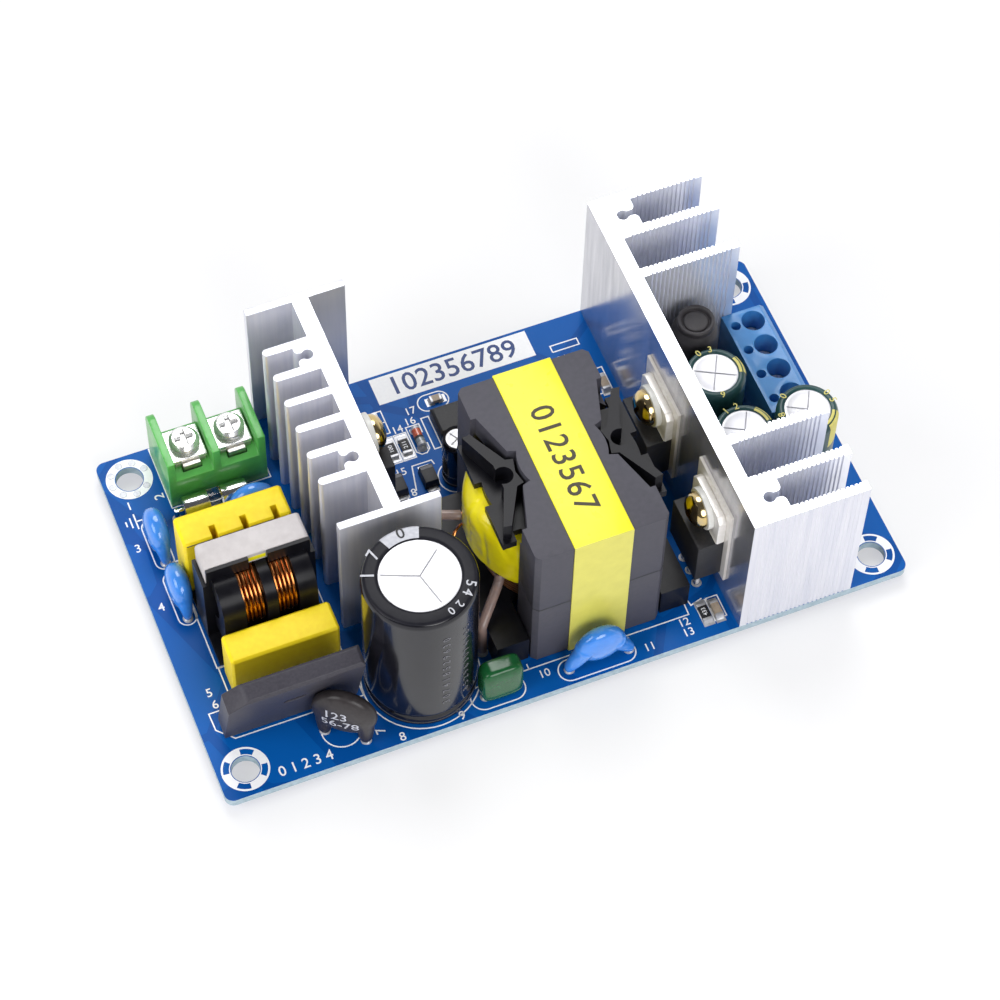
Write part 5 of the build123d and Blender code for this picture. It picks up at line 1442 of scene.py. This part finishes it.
# the two sleeved wires of the transformer, bent softly; copper shows at their upper ends
wires = {
    "paths": [
        [(-6.5, -16.6, 12.9), (-6.8, -17.0, 12.2), (-7.2, -17.5, 11.0), (-9.6, -20.0, 9.3),
         (-11.6, -22.0, 7.6), (-11.8, -22.4, 5.4), (-11.75, -22.4, 0.9)],
        [(-8.9, -6.7, 16.2), (-9.6, -6.7, 16.25), (-11.2, -6.1, 16.3), (-13.4, -5.2, 16.1),
         (-14.9, -4.6, 14.8), (-15.4, -4.3, 12.6), (-15.4, -4.2, 6.0), (-15.4, -4.2, 0.9)],
    ],
    "sleeve": 0.8,
    "copper": 0.42,
    "foot": [(1.0, 0.0), (0.7, 0.3), (0.45, 0.7), (0, 0.7)],
}


def flyingLeads():
    bm = bmesh.new()
    for points in wires["paths"]:
        path = smoothPath(points, 7)
        tube(bm, path[5:], wires["sleeve"], 20)
        tube(bm, path[:8], wires["copper"], 12, index=1)
        x, y, _ = path[-1]
        tube(bm, [(x, y, 1.0), (x, y, 0.1)], wires["copper"], 12, index=1)
        lathe(bm, wires["foot"], (x, y, 0), 20, index=2)
    settled("flying_leads_look", bm, ["sleevedWire", "copperWire", "solder"], replaced=("flying_leads",))


flyingLeads()

# a small yellow strip between the tabs of the choke's bobbin
chokeStrip = {"middle": (-42.0, -3.93, 18.7), "size": (2.9, 0.1, 0.9), "edge": 0.03}


def chokeStripPiece():
    bm = bmesh.new()
    softBox(bm, chokeStrip["size"], chokeStrip["middle"], width=chokeStrip["edge"])
    settled("choke_strip", bm, ["yellowTape"])


chokeStripPiece()

# output inductor: shrunk sleeve drawn in over the rim of the drum, slightly uneven between two heights
drum = {"profile": [(0, 0.2), (3.5, 0.2), (3.88, 0.7), (3.9, 17.4), (3.72, 18.5), (3.3, 19.35),
                    (3.02, 19.8), (3.02, 20.2), (3.12, 20.6), (2.98, 20.95), (2.6, 21.0), (2.36, 20.8),
                    (2.26, 20.35), (2.12, 20.3), (2.02, 20.5), (1.8, 20.6), (0, 20.62)],
        "round": 0.3, "uneven": (1.0, 20.0), "swell": 0.05, "swellSize": 0.35}


def outputInductor():
    bm = bmesh.new()
    x, y, _ = middleOf("output_inductor")
    lathe(bm, rounded(drum["profile"], drum["round"], 3), (x, y, 0), 72)
    low, high = drum["uneven"]
    for vert in bm.verts:
        if low < vert.co.z < high:
            swell = drum["swell"] * noise.noise(vert.co * drum["swellSize"])
            vert.co.x += swell
            vert.co.y += swell
    settled("output_inductor_look", bm, ["blackShrink"], replaced=("output_inductor",), sharp=60)


outputInductor()
print("inductor made")

# surface parts: size is length, width and height, cap the length of a metal end, places (x, y, turn)
chips = {
    "ceramic": {"size": (2.9, 1.35, 0.95), "cap": 0.5, "places": [(25.9, -28.9, 90), (26.0, 17.7, 90)]},
    "small": {"size": (2.0, 1.25, 0.9), "cap": 0.4, "places": [(-1.3, 24.8, 0)]},
    "resistor": {"size": (3.2, 1.6, 0.6), "cap": 0.5,
                 "places": [(-11.7, 18.1, 90), (-9.3, 18.1, 90), (-12.3, 23.8, 90), (23.9, -28.7, 90)]},
    "fillet": 0.35,
    "lift": 0.02,
    "digits": {"size": 0.7, "lift": 0.04, "texts": ("100", "211", "322", "433")},
}


def chipFillet(bm, length, width, height, spin, side):
    # the wedge of solder that climbs an end of the chip
    end = length / 2
    run = [(end - 0.03, height * 0.75), (end + 0.1, height * 0.3), (end + chips["fillet"], 0.04),
           (end + chips["fillet"], 0.0), (end - 0.03, 0.0)]
    near, far = ([bm.verts.new(spin @ Vector((side * x, y, z))) for x, z in run]
                 for y in (-width * 0.45, width * 0.45))
    faces = [bm.faces.new((near[i], far[i], far[i + 1], near[i + 1])) for i in range(4)]
    faces += [bm.faces.new(near), bm.faces.new(far)]
    for face in faces:
        face.material_index = 1


def chipOn(bm, kind, x, y, turn):
    # finish 0 is the body, 1 its metal ends with their solder
    length, width, height = kind["size"]
    cap = kind["cap"]
    middle = height / 2 + chips["lift"]
    spin = turned((x, y, 0), turn)
    softBox(bm, (length - 2 * cap + 0.1, width - 0.04, height - 0.06), (x, y, middle), turn, 0.06)
    for side in (-1, 1):
        end = spin @ Vector((side * (length - cap) / 2, 0, middle))
        softBox(bm, (cap, width, height), end, turn, 0.08, 1)
        chipFillet(bm, length, width, height, spin, side)
        pad = spin @ Vector((side * (length / 2 + 0.05), 0, chips["lift"]))
        softBox(bm, (cap + 2 * chips["fillet"] + 0.3, width + 0.3, 0.03), pad, turn, index=1)


def chipPiece(node, kinds, looks, digits=()):
    bm = bmesh.new()
    for kind in kinds:
        for place in chips[kind]["places"]:
            chipOn(bm, chips[kind], *place)
    bmesh.ops.recalc_face_normals(bm, faces=bm.faces)
    for text, (x, y, turn) in zip(digits, chips[kinds[0]]["places"]):
        z = chips[kinds[0]]["size"][2] + chips["digits"]["lift"]
        lettering(bm, text, chips["digits"]["size"], turned((x, y, z), turn), 2)
    settled(node + "_look", bm, looks, replaced=(node,))


chipPiece("ceramic_chips", ("ceramic", "small"), ["tanCeramic", "solder"])
chipPiece("chip_resistors", ("resistor",), ["blackEpoxy", "solder", "silkWhite"], chips["digits"]["texts"])

# glass diode lying along y: (distance from its middle, radius, finish from there on)
glassRings = [
    (-1.85, 0.72, "solder"), (-1.35, 0.80, "solder"), (-1.33, 0.76, "diodeGlass"),
    (-0.55, 0.78, "diodeGlass"), (-0.53, 0.79, "printBlack"), (-0.1, 0.79, "printBlack"),
    (-0.08, 0.78, "redGlass"), (1.33, 0.76, "redGlass"), (1.35, 0.80, "solder"), (1.85, 0.72, "solder"),
]
glassFoot = {"pad": (1.7, 0.9, 0.04), "padHeight": 0.03, "in": 0.94,
             "solder": [(0.85, 0.0), (0.7, 0.4), (0.3, 0.8), (0, 0.8)]}


def glassDiode():
    bm = bmesh.new()
    looks = ["redGlass", "solder", "diodeGlass", "printBlack"]
    centre = middleOf("glass_diode")
    lying = turned((0, 0, 0), -90, "X")
    for (low, r0, look), (high, r1, _) in zip(glassRings, glassRings[1:]):
        lathe(bm, [(r0, low), (r1, high)], centre, 28, lying, looks.index(look))
    for end, radius, _ in (glassRings[0], glassRings[-1]):
        disc = [(0, end), (radius, end)] if end < 0 else [(radius, end), (0, end)]
        lathe(bm, disc, centre, 28, lying, 1)
        softBox(bm, glassFoot["pad"], (centre[0], centre[1] + end, glassFoot["padHeight"]), index=1)
        lathe(bm, glassFoot["solder"], (centre[0], centre[1] + end * glassFoot["in"], 0), 18, index=1)
    settled("glass_diode_look", bm, looks, replaced=("glass_diode",))


# moulded diodes lying along y: size of the body and how much narrower its upper half is; of the
# lead, pad and stripe (size, y from the middle, height)
moulded = {
    "places": ((-13.2, 10.9), (-7.9, 10.8)),
    "size": (2.6, 3.6),
    "foot": 0.1,
    "upper": (0.86, 0.9),
    "edge": 0.1,
    "lead": ((1.5, 0.9, 0.22), 2.05, 0.14),
    "pad": ((1.9, 1.1, 0.04), 2.2, 0.03),
    "stripe": ((2.0, 0.5, 0.02), 1.15, 0.005),
}


def mouldedDiodes():
    bm = bmesh.new()
    top = boxMm("surface_diodes")[1][2]
    for x, y in moulded["places"]:
        one = block((*moulded["size"], top - moulded["foot"]), (x, y, (top + moulded["foot"]) / 2))
        for vert in one.verts:
            if vert.co.z > 1:
                vert.co.x = x + (vert.co.x - x) * moulded["upper"][0]
                vert.co.y = y + (vert.co.y - y) * moulded["upper"][1]
        bevelled(one, moulded["edge"], 20)
        joined(bm, one)
        for side in (-1, 1):
            size, away, z = moulded["lead"]
            softBox(bm, size, (x, y + side * away, z), width=0.06, index=1)
            size, away, z = moulded["pad"]
            softBox(bm, size, (x, y + side * away, z), index=1)
        size, away, z = moulded["stripe"]
        softBox(bm, size, (x, y + away, top + z), index=2)
    settled("surface_diodes_look", bm, ["blackEpoxy", "solder", "printGrey"], replaced=("surface_diodes",))


glassDiode()
mouldedDiodes()
print("surface parts made")


def islandsOf(node):
    # the box of every separate solid of a node, millimetres above the board
    bm = meshOf(node)
    boxes = []
    seen = set()
    for first in bm.verts:
        if first in seen:
            continue
        group, todo = [], [first]
        seen.add(first)
        while todo:
            vert = todo.pop()
            group.append(vert.co.copy())
            for edge in vert.link_edges:
                other = edge.other_vert(vert)
                if other not in seen:
                    seen.add(other)
                    todo.append(other)
        boxes.append(([min(co[i] for co in group) for i in range(3)],
                      [max(co[i] for co in group) for i in range(3)]))
    bm.free()
    return boxes


# a ring of bare copper with solder round every lead: a pad beneath the board, a low ring above it
jointPad = [(1.45, 0.0), (1.45, -0.03), (0.6, -0.036)]
jointRing = [(0.5, 0.12), (0.68, 0.05), (0.85, 0.0)]
jointLift = 0.01


def jointPlaces():
    # the middle of every separate joint beneath the board, each place once
    places = []
    for low, high in islandsOf("solder_joints"):
        middle = ((low[0] + high[0]) / 2, (low[1] + high[1]) / 2)
        if all((middle[0] - x) ** 2 + (middle[1] - y) ** 2 > 0.01 for x, y in places):
            places.append(middle)
    return places


def jointRings():
    bm = bmesh.new()
    under = boxMm("circuit_board")[0][2]
    for x, y in jointPlaces():
        lathe(bm, jointPad, (x, y, under), 24)
        lathe(bm, jointRing, (x, y, jointLift), 20)
    settled("joint_rings", bm, ["solder"])


jointRings()
print("board soldered")

# screw heads: domed brass coloured ones with a cross on the packages, bright slotted ones deep in the output
# terminal, whose heights run from the foot to the crown; the slotted ones are painted near-white as a
# painted highlight in their shaded bores
tabScrew = {"radius": 3.0, "height": 2.2, "dome": 0.82, "shank": 1.45, "short": 0.05, "reach": 1.7,
            "slot": 0.75, "deep": 1.25, "turns": (20, 110)}
dcScrew = {"radius": 1.87, "shank": 1.05, "foot": 2.8, "seat": 5.45, "shoulder": 6.75, "crown": 7.3,
           "slot": (4.74, 0.7, 1.3), "turn": 25}


def packageScrews():
    size = tabScrew
    screws = bmesh.new()
    for low, high in islandsOf("heatsink_screws"):
        # the screws of the right heatsink, at positive x, have their heads to the left
        head, way = (low[0], 1) if low[0] > 0 else (high[0], -1)
        place = (head, (low[1] + high[1]) / 2, (low[2] + high[2]) / 2)
        length = high[0] - low[0]
        profile = [(0, 0)]
        for i in range(1, 9):
            a = math.radians(90 * i / 8)
            profile.append((size["radius"] * math.sin(a) ** 0.9,
                            size["height"] * size["dome"] * (1 - math.cos(a))))
        profile += [(size["radius"], size["height"]), (size["shank"], size["height"]),
                    (size["shank"], length - size["short"]), (0, length)]
        body = bmesh.new()
        lathe(body, profile, place, 48, turned((0, 0, 0), way * 90, "Y"))
        bmesh.ops.recalc_face_normals(body, faces=body.faces)
        for turn in size["turns"]:
            blade = (2 * size["deep"], 2 * size["reach"], size["slot"])
            body = carved(body, block(blade, place, turn, "X"))
        joined(screws, body)
    settled("heatsink_screws_look", screws, ["yellowZinc"], replaced=("heatsink_screws",), sharp=40)


def terminalScrew(number):
    size = dcScrew
    node = f"dc_screw_{number}"
    x, y, _ = middleOf(node)
    body = bmesh.new()
    lathe(body, [(0, size["foot"]), (size["shank"], size["foot"]), (size["shank"], size["seat"]),
                 (size["radius"], size["seat"]), (size["radius"], size["shoulder"]),
                 (size["radius"] - 0.25, size["shoulder"] + 0.3),
                 (size["radius"] * 0.5, size["crown"] - 0.06), (0, size["crown"])], (x, y, 0), 40)
    bmesh.ops.recalc_face_normals(body, faces=body.faces)
    body = carved(body, block(size["slot"], (x, y, size["crown"]), size["turn"] * number))
    settled(node + "_look", body, ["screwSilverHighlight"], body=node, replaced=(node,), sharp=40)


packageScrews()
for number in (1, 2, 3, 4):
    terminalScrew(number)
print("screw heads carved")

# the joint between the two halves of the core shows as a dark line round its front and its rear,
# and a little way along its sides
coreSeam = {"z": 15.7, "half": 0.12, "out": 0.02, "corner": 0.8, "side": 3.2}


def coreSeamLine():
    bm = bmesh.new()
    (x0, y0, _), (x1, y1, _) = boxMm("transformer_core_lower")
    corner, side = coreSeam["corner"], coreSeam["side"]
    for front, way in ((y0, 1), (y1, -1)):
        rows = []
        for x, y in ((x0, front + way * side), (x0, front + way * corner), (x0 + corner, front),
                     (x1 - corner, front), (x1, front + way * corner), (x1, front + way * side)):
            x += math.copysign(coreSeam["out"], x - (x0 + x1) / 2)
            y += math.copysign(coreSeam["out"], y - (y0 + y1) / 2)
            rows.append([bm.verts.new((x, y, coreSeam["z"] + up * coreSeam["half"])) for up in (-1, 1)])
        for a, b in zip(rows, rows[1:]):
            bm.faces.new((a[0], b[0], b[1], a[1]))
    bmesh.ops.recalc_face_normals(bm, faces=bm.faces)
    settled("core_seam", bm, ["printBlack"])


coreSeamLine()
print("core seam drawn")
